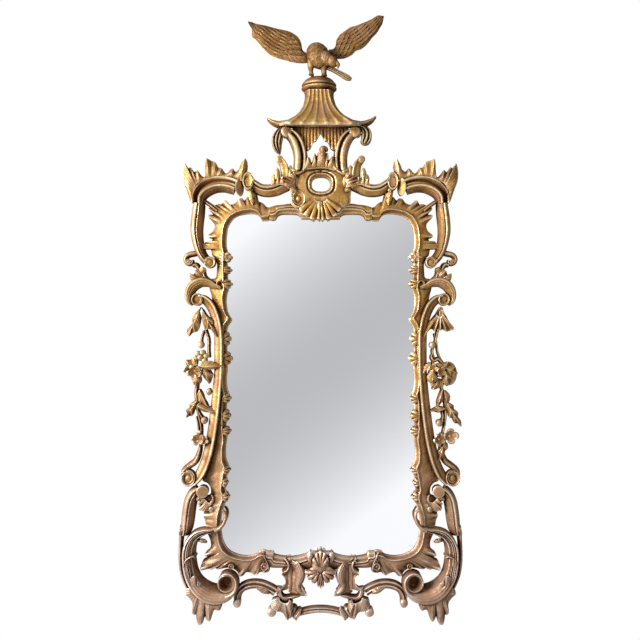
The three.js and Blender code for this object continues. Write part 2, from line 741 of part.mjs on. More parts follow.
const apronShellHalf = [
  [0, -446], [10, -448], [17, -455], [22, -468], [30, -480], [38, -490], [40, -505],
  [37, -520], [30, -526], [22, -524], [18, -532], [12, -538], [6, -545], [0, -546],
];
const apronShell = carve([
  leaf(wholeOutline(apronShellHalf), { front: footFront, slope: 6 }),
], [bottomRail, ...apronBrackets]);
add('apron_shell', apronShell, gilding);

const apronRail = carve([
  scroll([
    [-66, -620, 8], [-42, -614, 9], [-20, -610, 9], [20, -610, 9], [42, -614, 9],
    [66, -620, 8],
  ], { front: leafFront }),
], apronBrackets);
add('apron_rail', apronRail, gilding);

// ---------------------------------------------------------------- crest

const crestBand = (points, sizes) => band(points.map(onCrest), {
  front: crestFront, perSpan: 1, ...sizes,
});
const crestLeaf = (points, { holes = [], ...sizes }) => relief(points.map(onCrest), {
  front: crestFront, slope: 3, holes: holes.map((hole) => hole.map(onCrest)), ...sizes,
});

const cartoucheHalf = [
  [0, 665], [10, 664], [17, 656], [21, 642], [24, 629], [32, 634], [38, 630], [40, 612],
  [48, 602], [60, 598], [72, 597], [76, 590], [74, 583], [82, 576], [84, 562], [84, 545],
  [83, 525], [82, 507], [72, 496], [60, 486], [54, 476], [52, 465], [42, 462], [30, 464],
  [18, 461], [0, 460],
];
const cartoucheHole = [
  [16, 579], [24, 570], [26, 560], [24, 549], [15, 542], [-15, 542], [-24, 549], [-26, 560],
  [-24, 570], [-16, 579],
];
const cartouche = carve([
  crestLeaf(wholeOutline(cartoucheHalf), { holes: [cartoucheHole] }),
], [topRail]);
add('crest_cartouche', cartouche, gilding);

const crestArm = carve([
  scroll([
    [200, 572, 13], [181, 557, 15], [163, 546, 16], [143, 544, 17], [122, 551, 17],
    [104, 560, 17], [86, 562, 16],
  ], { front: scrollFront }),
  eye(199, 571, 15),
  leaf([
    [128, 566], [122, 585], [121, 600], [116, 609], [109, 604], [105, 611], [112, 626],
    [113, 634], [106, 636], [97, 630], [93, 618], [86, 620], [80, 617], [78, 603],
    [80, 585], [90, 566],
  ]),
], [...crownScrolls, ...crownLeafPair, ...upperCorners, cartouche]);
const crestArms = addPair('crest_arm', crestArm, gilding);

const pagodaBracket = carve([
  crestBand([
    [92, 702, 11], [78, 692, 13], [66, 675, 16], [58, 652, 18], [55, 628, 18],
    [58, 598, 17],
  ], {}),
  boss(...onCrest([95, 702]), 15, { front: crestFront }),
], [cartouche, ...crestArms]);
const pagodaBrackets = addPair('pagoda_bracket', pagodaBracket, gilding);

// The roof is half of a six-sided pagoda with hollow slopes, its eaves turned up behind.
const eaveThickness = 6;
const neckHeight = eaveHeight + roofHeight;
const roofRise = (share) => eaveHeight + share * roofHeight;
const roofCourses = [ // height, half width at the wall, half width in front, depth, drop in front
  { z: eaveHeight - eaveThickness, side: 112, face: 84, depth: roofDepth, drop: 10 },
  { z: eaveHeight, side: 114, face: 86, depth: roofDepth, drop: 10 },
  { z: roofRise(0.09), side: 94, face: 72, depth: roofDepth - 5, drop: 8 },
  { z: roofRise(0.22), side: 70, face: 54, depth: roofDepth - 14, drop: 4 },
  { z: roofRise(0.37), side: 56, face: 41, depth: roofDepth - 24, drop: 0 },
  { z: roofRise(0.58), side: 45, face: 32, depth: roofDepth - 32, drop: 0 },
  { z: neckHeight, side: 40, face: 26, depth: neckDepth, drop: 0 },
];
function roofRing({ z, side, face, depth, drop }) {
  const shift = (roofLean * (z - eaveHeight)) / roofHeight;
  const flank = roofBack + (depth - roofBack) * 0.35;
  return [
    [-side, -roofBack, 0], [side, -roofBack, 0], [side, -flank, -drop * 0.3],
    [face, -depth, -drop], [-face, -depth, -drop], [-side, -flank, -drop * 0.3],
  ].map(([x, y, fall]) => [x + Math.max(shift, roofLean), y, upright(z + fall)]);
}
const roofBody = (grow) => loft(roofCourses.map((course, i) => roofRing({
  ...course,
  z: course.z + (i === 0 ? -grow : i === roofCourses.length - 1 ? grow : 0),
  side: course.side + grow,
  face: course.face + grow,
  depth: course.depth + grow,
})));
const eaveTip = (hand) => band([
  [92, 0, 8], [112, -1, 8], [128, 2, 7], [141, 9, 5], [152, 19, 3],
].map(([x, rise, half]) => [hand * x, upright(eaveHeight + rise), half]), {
  front: neckDepth - 26, back: roofBack, perSpan: 1,
});
const roof = fit([roofBody, eaveTip(1), eaveTip(-1)], pagodaBrackets);
add('pagoda_roof', roof, gilding);

const valanceHalf = [
  [0, 720], [66, 720], [58, 700], [45, 672], [36, 652], [28, 658], [22, 676], [12, 678],
  [7, 688], [0, 699],
];
const valance = fit([
  crestLeaf(wholeOutline(valanceHalf), { front: crestFront - 8, back: roofBack + 8 }),
], [...pagodaBrackets, roof, cartouche]);
add('pagoda_valance', valance, gilding);

const roofLeafOutline = [
  [96, 718], [110, 719], [122, 714], [132, 703], [137, 688], [136, 672], [131, 655],
  [121, 645], [112, 642], [107, 650], [106, 668], [104, 684], [108, 692], [104, 703],
];
for (const [side, hand] of [['left', -1], ['right', 1]]) {
  const outline = roofLeafOutline.map(([x, z]) => [hand * x, z]);
  const roofLeaf = fit([
    crestLeaf(outline, { front: crestFront, back: roofBack + 12 }),
  ], [...pagodaBrackets, ...crestArms, roof]);
  add(`${side}_roof_leaf`, roofLeaf, gilding);
}

// The cap is turned and then halved against the wall.
const capCourses = [ // height and half width, as shares of the cap's own
  [0, 0.88], [0.12, 0.92], [0.29, 1], [0.48, 0.98], [0.64, 0.92], [0.83, 0.8], [1, 0.61],
];
const capSides = 8; // round the half circle
function capRing(z, share, grow) {
  return Array.from({ length: capSides + 1 }, (_, k) => {
    const angle = (k / capSides) * Math.PI;
    const x = roofLean + Math.cos(angle) * (capHalfWidth * share + grow);
    const forward = Math.sin(angle) * ((capDepth - roofBack) * share + grow);
    return [x, -roofBack - forward, upright(z)];
  });
}
const capBody = (grow) => loft(capCourses.map(([rise, share], i) => {
  const end = i === 0 ? -grow : i === capCourses.length - 1 ? grow : 0;
  return capRing(neckHeight + rise * capHeight + end, share, grow);
}));
const cap = fit([capBody], [roof]);
add('pagoda_cap', cap, gilding);

// ---------------------------------------------------------------- bird

// It is drawn up from its perch, the top of the cap.
const perch = upright(neckHeight + capHeight);
const birdPoint = (x, out, rise, radius) => [x, -birdDepth - out, perch + rise, radius];
const onPerch = ([x, rise]) => [x, perch + rise];
const legOn = (x) => bar([
  birdPoint(x + 2, 0, 45, 9), birdPoint(x, 0, 17, 7), birdPoint(x - 1, 0, 7, 7),
  birdPoint(x - 1, 6, -3, 9),
]);
const bird = fit([
  egg(birdPoint(-5, 0, 54), [36, 30, 37]),
  egg(birdPoint(14, 14, 44), [24, 20, 20]),
  egg(birdPoint(32, 20, 34), [16, 14, 17]),
  bar([birdPoint(38, 22, 31, 8), birdPoint(47, 24, 25, 5), birdPoint(46, 24, 15, 2)]),
  legOn(-24),
  legOn(11),
  relief([[10, 33], [20, 13], [48, 0], [72, -14], [88, -9], [84, -3], [45, 15], [28, 33]]
    .map(onPerch), { front: birdDepth + 6, back: birdDepth - 6 }),
], [cap]);
add('bird_body', bird, gilding);

const wingFront = birdDepth - 8;
const wing = (points) => relief(points.map(onPerch), {
  front: wingFront, back: wingFront - wingThickness, slope: 2,
});
const rightWing = fit([
  wing([
    [24, 75], [24, 57], [38, 50], [62, 49], [80, 54], [92, 66], [118, 81], [143, 105],
    [159, 125], [171, 148], [174, 166], [161, 170], [136, 158], [112, 147], [87, 138],
    [63, 122], [47, 107], [42, 85], [34, 79],
  ]),
], [bird, cap]);
add('right_wing', rightWing, gilding);

const leftWing = fit([
  wing([
    [-26, 65], [-26, 45], [-38, 37], [-60, 37], [-95, 43], [-125, 52], [-152, 70],
    [-170, 93], [-180, 105], [-189, 120], [-192, 135], [-199, 151], [-178, 148],
    [-150, 141], [-120, 133], [-88, 126], [-70, 115], [-55, 97], [-50, 76], [-38, 67],
  ]),
], [bird, cap]);
add('left_wing', leftWing, gilding);

// ---------------------------------------------------------------- hangers on the back

const alongX = (from, to, radius, sides) => bar([
  [hangerX + from, hangerAxisY, hangerZ, radius],
  [hangerX + to, hangerAxisY, hangerZ, radius],
], { sides });

const holeSides = 8;
const strapHole = (z) => Array.from({ length: holeSides }, (_, k) => {
  const angle = (k / holeSides) * 2 * Math.PI;
  const radius = screwShank / 2 + glueGap;
  return [hangerX + Math.cos(angle) * radius, z + Math.sin(angle) * radius];
});
const strapPlate = relief([
  [hangerX - strapWidth / 2, hangerZ], [hangerX - strapWidth / 2, hangerZ - strapLength + 4],
  [hangerX - strapWidth / 2 + 4, hangerZ - strapLength],
  [hangerX + strapWidth / 2 - 4, hangerZ - strapLength],
  [hangerX + strapWidth / 2, hangerZ - strapLength + 4], [hangerX + strapWidth / 2, hangerZ],
], {
  front: -glueGap,
  back: -glueGap - strapThickness,
  holes: Object.values(screwHeights).map(strapHole),
});
const strap = fit(
  [strapPlate, alongX(-strapWidth / 2, strapWidth / 2, barrelRadius, 16)],
  [],
  [alongX(-strapWidth, strapWidth, ringWire / 2 + glueGap, 16)],
);
addPair('hanger_strap', strap, brass);

const ringRadius = ringInside / 2 + ringWire / 2;
const ringBend = Array.from({ length: 9 }, (_, k) => {
  const angle = (k / 8) * Math.PI;
  const drop = ringReach - ringWire / 2 - ringRadius + Math.sin(angle) * ringRadius;
  return [hangerX + Math.cos(angle) * ringRadius, hangerAxisY, hangerZ - drop, ringWire / 2];
});
const ring = fit([
  alongX(-ringRadius, ringRadius, ringWire / 2, 12),
  bar([
    [hangerX + ringRadius, hangerAxisY, hangerZ + ringWire / 2, ringWire / 2],
    ...ringBend,
    [hangerX - ringRadius, hangerAxisY, hangerZ + ringWire / 2, ringWire / 2],
  ], { sides: 8 }),
]);
addPair('hanger_ring', ring, brass);

const screwSeat = glueGap + strapThickness + glueGap;
for (const [place, z] of Object.entries(screwHeights)) {
  const screw = fit([
    bar([[hangerX, screwSeat, z, screwShank / 2], [hangerX, -screwDepth, z, screwShank / 2]],
      { sides: 8 }),
    bar([
      [hangerX, screwSeat, z, screwHead / 2],
      [hangerX, screwSeat + screwHeadHeight, z, screwHead / 3],
    ], { sides: 8 }),
  ]);
  addPair(`${place}_hanger_screw`, screw, steel);
}

export default model;
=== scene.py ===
"""Carved giltwood pier mirror with a pagoda crest and a bird, dressed round its CAD frame.

The carver's drawing is full size: x across, z up and f forward from the wall, all in
millimetres. Blender's y is minus f, and its metres are the drawing over 1000.
"""

import bpy
import numpy as np
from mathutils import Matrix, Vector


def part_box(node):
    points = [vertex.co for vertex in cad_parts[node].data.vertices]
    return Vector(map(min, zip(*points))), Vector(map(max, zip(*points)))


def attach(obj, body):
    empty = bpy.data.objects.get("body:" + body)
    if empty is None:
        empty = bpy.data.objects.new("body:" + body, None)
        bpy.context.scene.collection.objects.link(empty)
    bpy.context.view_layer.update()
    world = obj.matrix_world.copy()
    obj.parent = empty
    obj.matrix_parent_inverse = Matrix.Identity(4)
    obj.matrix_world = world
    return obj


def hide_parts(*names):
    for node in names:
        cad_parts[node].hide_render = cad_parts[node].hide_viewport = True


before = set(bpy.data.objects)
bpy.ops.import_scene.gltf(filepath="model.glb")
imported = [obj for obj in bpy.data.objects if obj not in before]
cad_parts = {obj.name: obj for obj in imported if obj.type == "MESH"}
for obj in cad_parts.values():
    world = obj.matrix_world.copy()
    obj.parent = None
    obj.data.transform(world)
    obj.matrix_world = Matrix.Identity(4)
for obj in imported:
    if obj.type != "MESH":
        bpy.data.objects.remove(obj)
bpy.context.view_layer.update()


# ---------------------------------------------------------------------------------------
# Studio: a white room with one large soft light high on the left, a weaker one on the
# right, and a pale floor far below the hung mirror. The camera stands level with the
# upper third of the glass, 2.8 m in front of it.

camera_distance = 2.83
camera_height = 0.187
camera_side = -0.0014
view_width = 1.76  # what the picture spans at the carving's face
face_depth = 0.03

camera = bpy.data.objects.new("camera", bpy.data.cameras.new("camera"))
bpy.context.scene.collection.objects.link(camera)
camera.location = (camera_side, -camera_distance, camera_height)
camera.rotation_euler = (np.pi / 2, 0, 0)
camera.data.lens = camera.data.sensor_width * (camera_distance - face_depth) / view_width
bpy.context.scene.camera = camera
bpy.context.scene.view_settings.view_transform = "Standard"


class Net:
    """A node tree that is written as Python: node() makes any node from its type, its
    settings and the values or links of its sockets, each by its name or as _number."""

    def __init__(self, tree):
        self.tree = tree
        tree.nodes.clear()

    def node(self, kind, settings=None, **sockets):
        """A new node of that type, set up and linked."""
        made = self.tree.nodes.new(kind)
        for name, value in (settings or {}).items():
            setattr(made, name, value)
        for name, value in sockets.items():
            keys = [s for s in made.inputs if s.enabled and s.name.replace(" ", "_") == name]
            socket = keys[0] if keys else made.inputs[int(name.strip("_"))]
            if isinstance(value, Wire):
                self.tree.links.new(value.socket, socket)
            elif hasattr(value, "is_output"):
                self.tree.links.new(value, socket)
            else:
                socket.default_value = value
        return made

    def wire(self, kind, output, settings=None, **sockets):
        """One output of a new node, as a Wire."""
        return Wire(self, self.node(kind, settings, **sockets).outputs[output])

    def mix(self, share, low, high):
        """low where share is 0, high where it is 1: a Mix node for colours."""
        made = self.node("ShaderNodeMix", {"data_type": "RGBA"}, Factor=share, A=low, B=high)
        return Wire(self, made.outputs["Result"])


class Wire:
    """A socket that takes part in sums: each operator adds its Math node."""

    def __init__(self, net, socket):
        self.net = net
        self.socket = socket

    def maths(self, operation, first, second=0.0, clamp=False):
        """first operation second, as a new Math node."""
        settings = {"operation": operation, "use_clamp": clamp}
        made = self.net.node("ShaderNodeMath", settings, _0=first, _1=second)
        return Wire(self.net, made.outputs[0])

    def __add__(self, other):
        return self.maths("ADD", self, other)

    def __sub__(self, other):
        return self.maths("SUBTRACT", self, other)

    def __rsub__(self, other):
        return self.maths("SUBTRACT", other, self)

    def __mul__(self, other):
        return self.maths("MULTIPLY", self, other)

    __radd__ = __add__

    def held(self):
        """The value kept between 0 and 1."""
        return self.maths("ADD", self, 0.0, clamp=True)

    def above(self, start, full):
        """0 up to start, 1 from full on, and a straight ramp between them."""
        return ((self - start) * (1 / (full - start))).held()


def light_the_room():
    """World: white to the camera and a low even light on the carving. Metal sees the grey
    0.26 + 0.74 * (0.13 - 0.34 x + 0.3 z), brightest high on the left, and in front of the
    glass 0.525 + 8.3 * slant^2, the soft dark band that runs up through its reflection."""
    world = bpy.data.worlds.new("room")
    bpy.context.scene.world = world
    world.use_nodes = True
    net = Net(world.node_tree)
    path = net.node("ShaderNodeLightPath")
    way = net.node(
        "ShaderNodeSeparateXYZ", Vector=net.node("ShaderNodeTexCoord").outputs["Generated"]
    )
    x, y, z = (Wire(net, way.outputs[k]) for k in range(3))
    seen_in_glass = (0.0 - y).above(0.86, 0.965)
    slant = x - z * 1.32 - 0.0564
    front = (0.525 + slant * slant * 8.3).held()
    darkest = 0.26
    side = (0.13 - x * 0.34 + z * 0.3).held() * (1 - darkest) + darkest
    tone = side + (front - side) * seen_in_glass
    room = net.mix(tone, (0.0, 0.0, 0.0, 1), (1.0, 1.0, 1.03, 1))
    soft = net.node("ShaderNodeBackground", Color=(1.0, 0.98, 0.95, 1), Strength=0.13)
    mirrored = net.node("ShaderNodeBackground", Color=room, Strength=1.0)
    white = net.node("ShaderNodeBackground", Color=(1, 1, 1, 1), Strength=1.0)
    glossy = Wire(net, path.outputs["Is Glossy Ray"])
    direct = Wire(net, path.outputs["Is Camera Ray"])
    clear = Wire(net, path.outputs["Is Transmission Ray"])
    lit = net.node("ShaderNodeMixShader", _0=glossy, _1=soft.outputs[0], _2=mirrored.outputs[0])
    shown = (direct + clear).held()
    seen = net.node("ShaderNodeMixShader", _0=shown, _1=lit.outputs[0], _2=white.outputs[0])
    net.node("ShaderNodeOutputWorld", Surface=seen.outputs[0])


light_the_room()


def softbox(name, place, size, watts, colour):
    """A square area lamp at place that faces the middle of the glass."""
    lamp = bpy.data.lights.new(name, "AREA")
    lamp.shape = "SQUARE"
    lamp.size = size
    lamp.energy = watts
    lamp.color = colour
    holder = bpy.data.objects.new(name, lamp)
    bpy.context.scene.collection.objects.link(holder)
    away = np.array(place) / np.linalg.norm(place)
    holder.location = place
    holder.rotation_euler = (np.arccos(away[2]), 0, np.arctan2(away[1], away[0]) + np.pi / 2)


softbox("window", (-2.8, -1.7, 0.9), 1.4, 165, (1.0, 0.97, 0.93))
softbox("fill", (2.0, -2.8, 0.9), 1.4, 8, (0.95, 0.96, 1.0))

floor_height = -1.45
floor_reach = 2.2
floor_mesh = bpy.data.meshes.new("floor")
floor_corners = [(-1, -1), (1, -1), (1, 1), (-1, 1)]
floor_mesh.from_pydata(
    [(x * floor_reach, y * floor_reach, floor_height) for x, y in floor_corners],
    [],
    [(0, 1, 2, 3)],
)
floor = bpy.data.objects.new("floor", floor_mesh)
bpy.context.scene.collection.objects.link(floor)


def floor_paint():
    """Pale paint: 0.85 of what the camera sees is a white glow, the rest takes shadows."""
    paint = bpy.data.materials.new("pale_floor")
    paint.use_nodes = True
    net = Net(paint.node_tree)
    path = net.node("ShaderNodeLightPath")
    matt = net.node("ShaderNodeBsdfDiffuse", Color=(0.8, 0.8, 0.8, 1))
    glow = net.node("ShaderNodeEmission", Color=(1, 1, 1, 1), Strength=1.0)
    glow_share = 0.85
    shown = (Wire(net, path.outputs["Is Camera Ray"]) * glow_share).held()
    both = net.node("ShaderNodeMixShader", _0=shown, _1=matt.outputs[0], _2=glow.outputs[0])
    net.node("ShaderNodeOutputMaterial", Surface=both.outputs[0])
    return paint


floor_mesh.materials.append(floor_paint())


# ---------------------------------------------------------------------------------------
# Mirror plate: one sheet of old silvered glass, 4 mm thick, in the rebate of the frame.
# The silver lies on its back, so the front is a clear cold reflection.


def silvering():
    """Bright metal, a trace cold: its tint and its roughness follow one very broad, faint
    cloud of noise."""
    glass = bpy.data.materials.new("silvered_glass")
    glass.use_nodes = True
    net = Net(glass.node_tree)
    place = net.node("ShaderNodeTexCoord").outputs["Object"]
    cloud = net.wire("ShaderNodeTexNoise", "Fac", Vector=place, Scale=3.0, Detail=2.0)
    tint = net.mix(cloud, (0.93, 0.94, 0.95, 1), (0.97, 0.975, 0.98, 1))
    shader = net.node(
        "ShaderNodeBsdfPrincipled",
        Base_Color=tint,
        Metallic=1.0,
        Roughness=cloud * 0.02 + 0.015,
    )
    net.node("ShaderNodeOutputMaterial", Surface=shader.outputs[0])
    return glass


def refinish(node, material):
    """A CAD piece whose shape is right keeps its mesh and takes a better finish."""
    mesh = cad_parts[node].data
    mesh.materials.clear()
    mesh.materials.append(material)


refinish("mirror_plate", silvering())


# ---------------------------------------------------------------------------------------
# Sight frame: stiles, rails and corner blocks of pine, halved together round the glass.
# A hollow runs beside the glass, then a rounded moulding, and rocaille flutes fan out
# behind it. All the carving is gessoed, laid with gold leaf over red clay and burnished.


def patina():
    """Old water gilding: leaf over red clay. The dark mix, grime and painted shade together,
    = half of the pits, creases and shaded hollows + 0.4 of the flanks + mottle + more on crest,
    garlands and apron; ridges are burnished to bright metal with a painted highlight, and
    towards the foot the colours are cooler and rosier, a painted tone of the light."""
    gold = bpy.data.materials.new("old_gilding")
    gold.use_nodes = True
    net = Net(gold.node_tree)
    place = net.node("ShaderNodeTexCoord").outputs["Object"]

    def cloud(scale, detail, rough=0.5):
        """Noise of that many lumps to the metre, from 0 to 1."""
        return net.wire(
            "ShaderNodeTexNoise", "Fac", Vector=place, Scale=scale, Detail=detail, Roughness=rough
        )

    def hidden(reach):
        """1 - the share of the sky within reach, in metres, that is open."""
        sky = net.node("ShaderNodeAmbientOcclusion", {"samples": 6}, Distance=reach)
        return 1.0 - Wire(net, sky.outputs["AO"])

    broad = cloud(9.0, 3.0)
    mottle = cloud(30.0, 5.0, 0.68).above(0.44, 0.62)
    patch = cloud(60.0, 4.0, 0.6)
    grain = cloud(260.0, 3.0, 0.6)
    tooling = cloud(105.0, 2.0, 0.45)
    apart = net.node("ShaderNodeSeparateXYZ", Vector=place)
    aside, depth, height = (Wire(net, apart.outputs[k]) for k in range(3))

    # low_down turns the colours cooler and rosier towards the foot: a painted tone of the light
    # there.
    low_down = (0.05 - height).above(0.0, 0.55)
    garland_aside = 0.084  # the square of its distance from the middle, 0.29 m
    garland_foot = 0.34
    garland_top = 0.40
    hung = (aside * aside - garland_aside).above(0.0, 0.012)
    hung = hung * (height + garland_foot).above(0.0, 0.1)
    hung = hung * (garland_top - height).above(0.0, 0.08)
    apron_top = -0.45
    foot = (apron_top - height).above(0.0, 0.05)
    roof_height = 0.70
    bird_height = 0.85
    bird = (height - bird_height).above(0.0, 0.02)
    high_up = (height - roof_height).above(0.0, 0.16) + bird * 1.2

    face = net.node("ShaderNodeTexCoord").outputs["Normal"]
    facing = net.node("ShaderNodeSeparateXYZ", Vector=face)
    flank = (1.0 + Wire(net, facing.outputs[1])).above(0.2, 0.8)
    relief = 0.034  # grime and painted shade set in where the surface lies further back than this
    behind = (relief + depth).above(0.0, 0.026)
    ridge = net.wire("ShaderNodeNewGeometry", "Pointiness")  # 0.5 where it is flat
    # Mottled pointiness: ridges get a painted highlight along with their wear, pits get grime and
    # painted shade.
    ridge_and_hollow = ridge + (patch - 0.5) * 0.03
    edge = ridge_and_hollow.above(0.508, 0.55)
    pit_grime_and_shade = (1.0 - ridge_and_hollow).above(0.504, 0.54)
    # Ambient occlusion at 7 mm and at 30 mm paints shade into creases and hollows.
    crease_shade_reach = 0.007
    shade_reach = 0.03
    crease_shade = hidden(crease_shade_reach).above(0.14, 0.62)
    shade = hidden(shade_reach).above(0.08, 0.6)
    # The dark mix is grime and painted shade at once: pits, creases, hollows and parts set back
    # get painted shade; flanks, mottle, crest, garlands and apron are darkened too.
    grime_and_painted_shade = pit_grime_and_shade * 0.5 + crease_shade * 0.55 + shade * 0.55 + flank * 0.4 + behind * 0.3
    grime_and_painted_shade = grime_and_painted_shade + mottle * 0.42 + high_up * 0.22 - edge * 0.3 - 0.1
    grime_and_painted_shade = (grime_and_painted_shade + hung * 0.2 + foot * 0.1).held()

    leaf = net.mix(patch.above(0.35, 0.65), (0.42, 0.20, 0.045, 1), (0.70, 0.44, 0.14, 1))
    mauve = net.mix(broad, (0.36, 0.22, 0.15, 1), (0.62, 0.45, 0.36, 1))
    # Towards the foot the body takes the mauve, a painted tone of the light there.
    body = net.mix(low_down * 0.75, leaf, mauve)
    clay = net.mix(cloud(17.0, 4.0, 0.6).above(0.5, 0.6) * 0.6, body, (0.60, 0.32, 0.20, 1))
    # bright is burnished metal with a painted highlight on the ridges, rosier towards the foot.
    bright = net.mix(low_down, (0.96, 0.84, 0.58, 1), (0.96, 0.85, 0.79, 1))
    rubbed_and_highlit = net.mix(edge * (0.95 - mottle * 0.55), clay, bright)
    # The dark brown laid over the gold is grime and painted shade.
    grime_and_shade_colour = net.mix(grime_and_painted_shade, rubbed_and_highlit, (0.130, 0.044, 0.009, 1))
    bump = net.node(
        "ShaderNodeBump",
        Strength=0.75,
        Distance=0.0022,
        Height=tooling * 0.7 + patch * 0.25 + grain * 0.06,
    )
    shader = net.node(
        "ShaderNodeBsdfPrincipled",
        Base_Color=grime_and_shade_colour,
        Metallic=0.62 - grime_and_painted_shade * 0.52,
        Roughness=0.38 + grime_and_painted_shade * 0.4 + patch * 0.12,
        Specular_IOR_Level=0.2,
        Normal=bump.outputs["Normal"],
    )
    net.node("ShaderNodeOutputMaterial", Surface=shader.outputs[0])
    return gold


gilding = patina()


def gone_along(line):
    """How far along a line each of its points lies: the sum of the steps before it."""
    return np.concatenate([[0], np.cumsum(np.hypot(*np.diff(line[:, :2], axis=0).T))])


def drawn(points, steps, even=True):
    """A smooth line through drawn points [x, z, sizes...]: Catmull-Rom between each pair,
    p = b + t(c-a)/2 + ..., and, if even, its rows are spaced evenly along its length."""
    p = np.array(points, float)
    p = np.vstack([2 * p[0] - p[1], p, 2 * p[-1] - p[-2]])
    t = np.linspace(0, len(points) - 1, 4 * steps if even else steps)
    span = np.minimum(t.astype(int), len(points) - 2)
    f = (t - span)[:, None]
    a, b, c, d = (p[span + k] for k in range(4))
    line = b + 0.5 * f * (c - a + f * (2 * a - 5 * b + 4 * c - d + f * (3 * b - a - 3 * c + d)))
    if not even:
        return line
    gone = gone_along(line)
    marks = np.linspace(0, gone[-1], steps)
    return np.stack([np.interp(marks, gone, column) for column in line.T], axis=1)


def sides(line):
    """Unit vectors across a line in the drawing: its direction turned to the right."""
    way = np.gradient(line[:, :2], axis=0)
    way = way / np.maximum(np.hypot(*way.T), 1e-9)[:, None]
    return np.stack([way[:, 1], -way[:, 0]], axis=1)


def skin(rings):
    """A closed shell over rows of rings, shape (rows, round, 3) in x, f, z: quads between
    the rows, and a fan to the middle of the first and the last ring."""
    rows, around = rings.shape[:2]
    points = rings.reshape(-1, 3)
    ends = np.stack([rings[0].mean(0), rings[-1].mean(0)])
    k = np.arange(around)
    after = (k + 1) % around
    start = (np.arange(rows - 1) * around)[:, None]
    quads = np.stack([start + k, start + after, start + after + around, start + k + around], -1)
    last = (rows - 1) * around
    first_fan = np.stack([np.full(around, len(points)), after, k], -1)
    last_fan = np.stack([np.full(around, len(points) + 1), last + k, last + after], -1)
    points = np.vstack([points, ends])
    quads = quads.reshape(-1, 4)
    fans = np.vstack([first_fan, last_fan])
    corners = np.vstack([quads[:, [0, 1, 2]], quads[:, [0, 2, 3]], fans])
    a, b, c = (points[corners[:, n]] for n in range(3))
    if np.einsum("ij,ij->i", a, np.cross(b, c)).sum() > 0:
        quads = quads[:, ::-1]
        fans = fans[:, ::-1]
    return points, quads, fans


def across_to_left(shells):
    """The same shells on the other side of the frame: x becomes -x and faces turn over."""
    return [(p * [-1, 1, 1], q[:, ::-1], f[:, ::-1]) for p, q, f in shells]


backs_apart = 0.04  # mm between the flat backs of a piece's shells, so that none coincide
crisp = 0.75  # radians between two faces that meet in a sharp edge
mm_per_metre = 1000


def carving(node, shells):
    """One carved piece of several shells, in place of the frame's CAD node. Each shell's
    back lies a step in front of the one before: forward = drawn + backs_apart * number."""
    name = f"{node}_carving"
    mesh = bpy.data.meshes.new(name)
    counts = np.cumsum([0] + [len(p) for p, _, _ in shells])
    backs = [p[:, 1] < p[:, 1].min() + 0.01 for p, _, _ in shells]
    points = np.vstack([
        p + [0, backs_apart * n, 0] * flat[:, None]
        for n, ((p, _, _), flat) in enumerate(zip(shells, backs))
    ])
    quads = np.vstack([q + n for (_, q, _), n in zip(shells, counts)])
    fans = np.vstack([f + n for (_, _, f), n in zip(shells, counts)])
    mesh.vertices.add(len(points))
    place = np.stack([points[:, 0], -points[:, 1], points[:, 2]], axis=1) / mm_per_metre
    mesh.vertices.foreach_set("co", place.ravel())
    loops = np.concatenate([quads.ravel(), fans.ravel()])
    mesh.loops.add(len(loops))
    mesh.loops.foreach_set("vertex_index", loops)
    quad_starts = np.arange(len(quads)) * 4
    fan_starts = len(quads) * 4 + np.arange(len(fans)) * 3
    starts = np.concatenate([quad_starts, fan_starts])
    mesh.polygons.add(len(starts))
    mesh.polygons.foreach_set("loop_start", starts)
    mesh.update(calc_edges=True)
    mesh.shade_smooth()
    mesh.set_sharp_from_angle(angle=crisp)
    mesh.materials.append(gilding)
    piece = bpy.data.objects.new(name, mesh)
    bpy.context.scene.collection.objects.link(piece)
    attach(piece, "frame")
    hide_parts(node)


def carving_pair(name, shells):
    """A piece and its mirror image, for the right and the left CAD node of that name."""
    carving(f"right_{name}", shells)
    carving(f"left_{name}", across_to_left(shells))


def band(points, profile, back=8.0, steps=100, to=None):
    """A carved member: at every row of the line [x, z, half width, forward] stands the
    profile of (across, rise), across -1 on the left of the line's way to 1 on its right;
    forward = back + (front - back) * rise. A second profile is reached at the far end."""
    x, z, half, front = drawn(points, steps).T
    share = np.linspace(0, 1, steps)[:, None]
    across, rise = drawn(profile, 30).T
    if to is not None:
        across_end, rise_end = drawn(to, 30).T
        across = across * (1 - share) + across_end * share
        rise = rise * (1 - share) + rise_end * share
    flat_back = [0.8, 0.3, -0.3, -0.8]
    row = np.ones((steps, 1))
    across = np.hstack([across * row, flat_back * row])
    rise = np.hstack([rise * row, np.zeros((steps, len(flat_back)))])
    way = sides(np.stack([x, z], axis=1))
    reach = half[:, None] * across
    forward = back + (front[:, None] - back) * rise
    return skin(np.dstack([x[:, None] + way[:, :1] * reach, forward,
                           z[:, None] + way[:, 1:] * reach]))


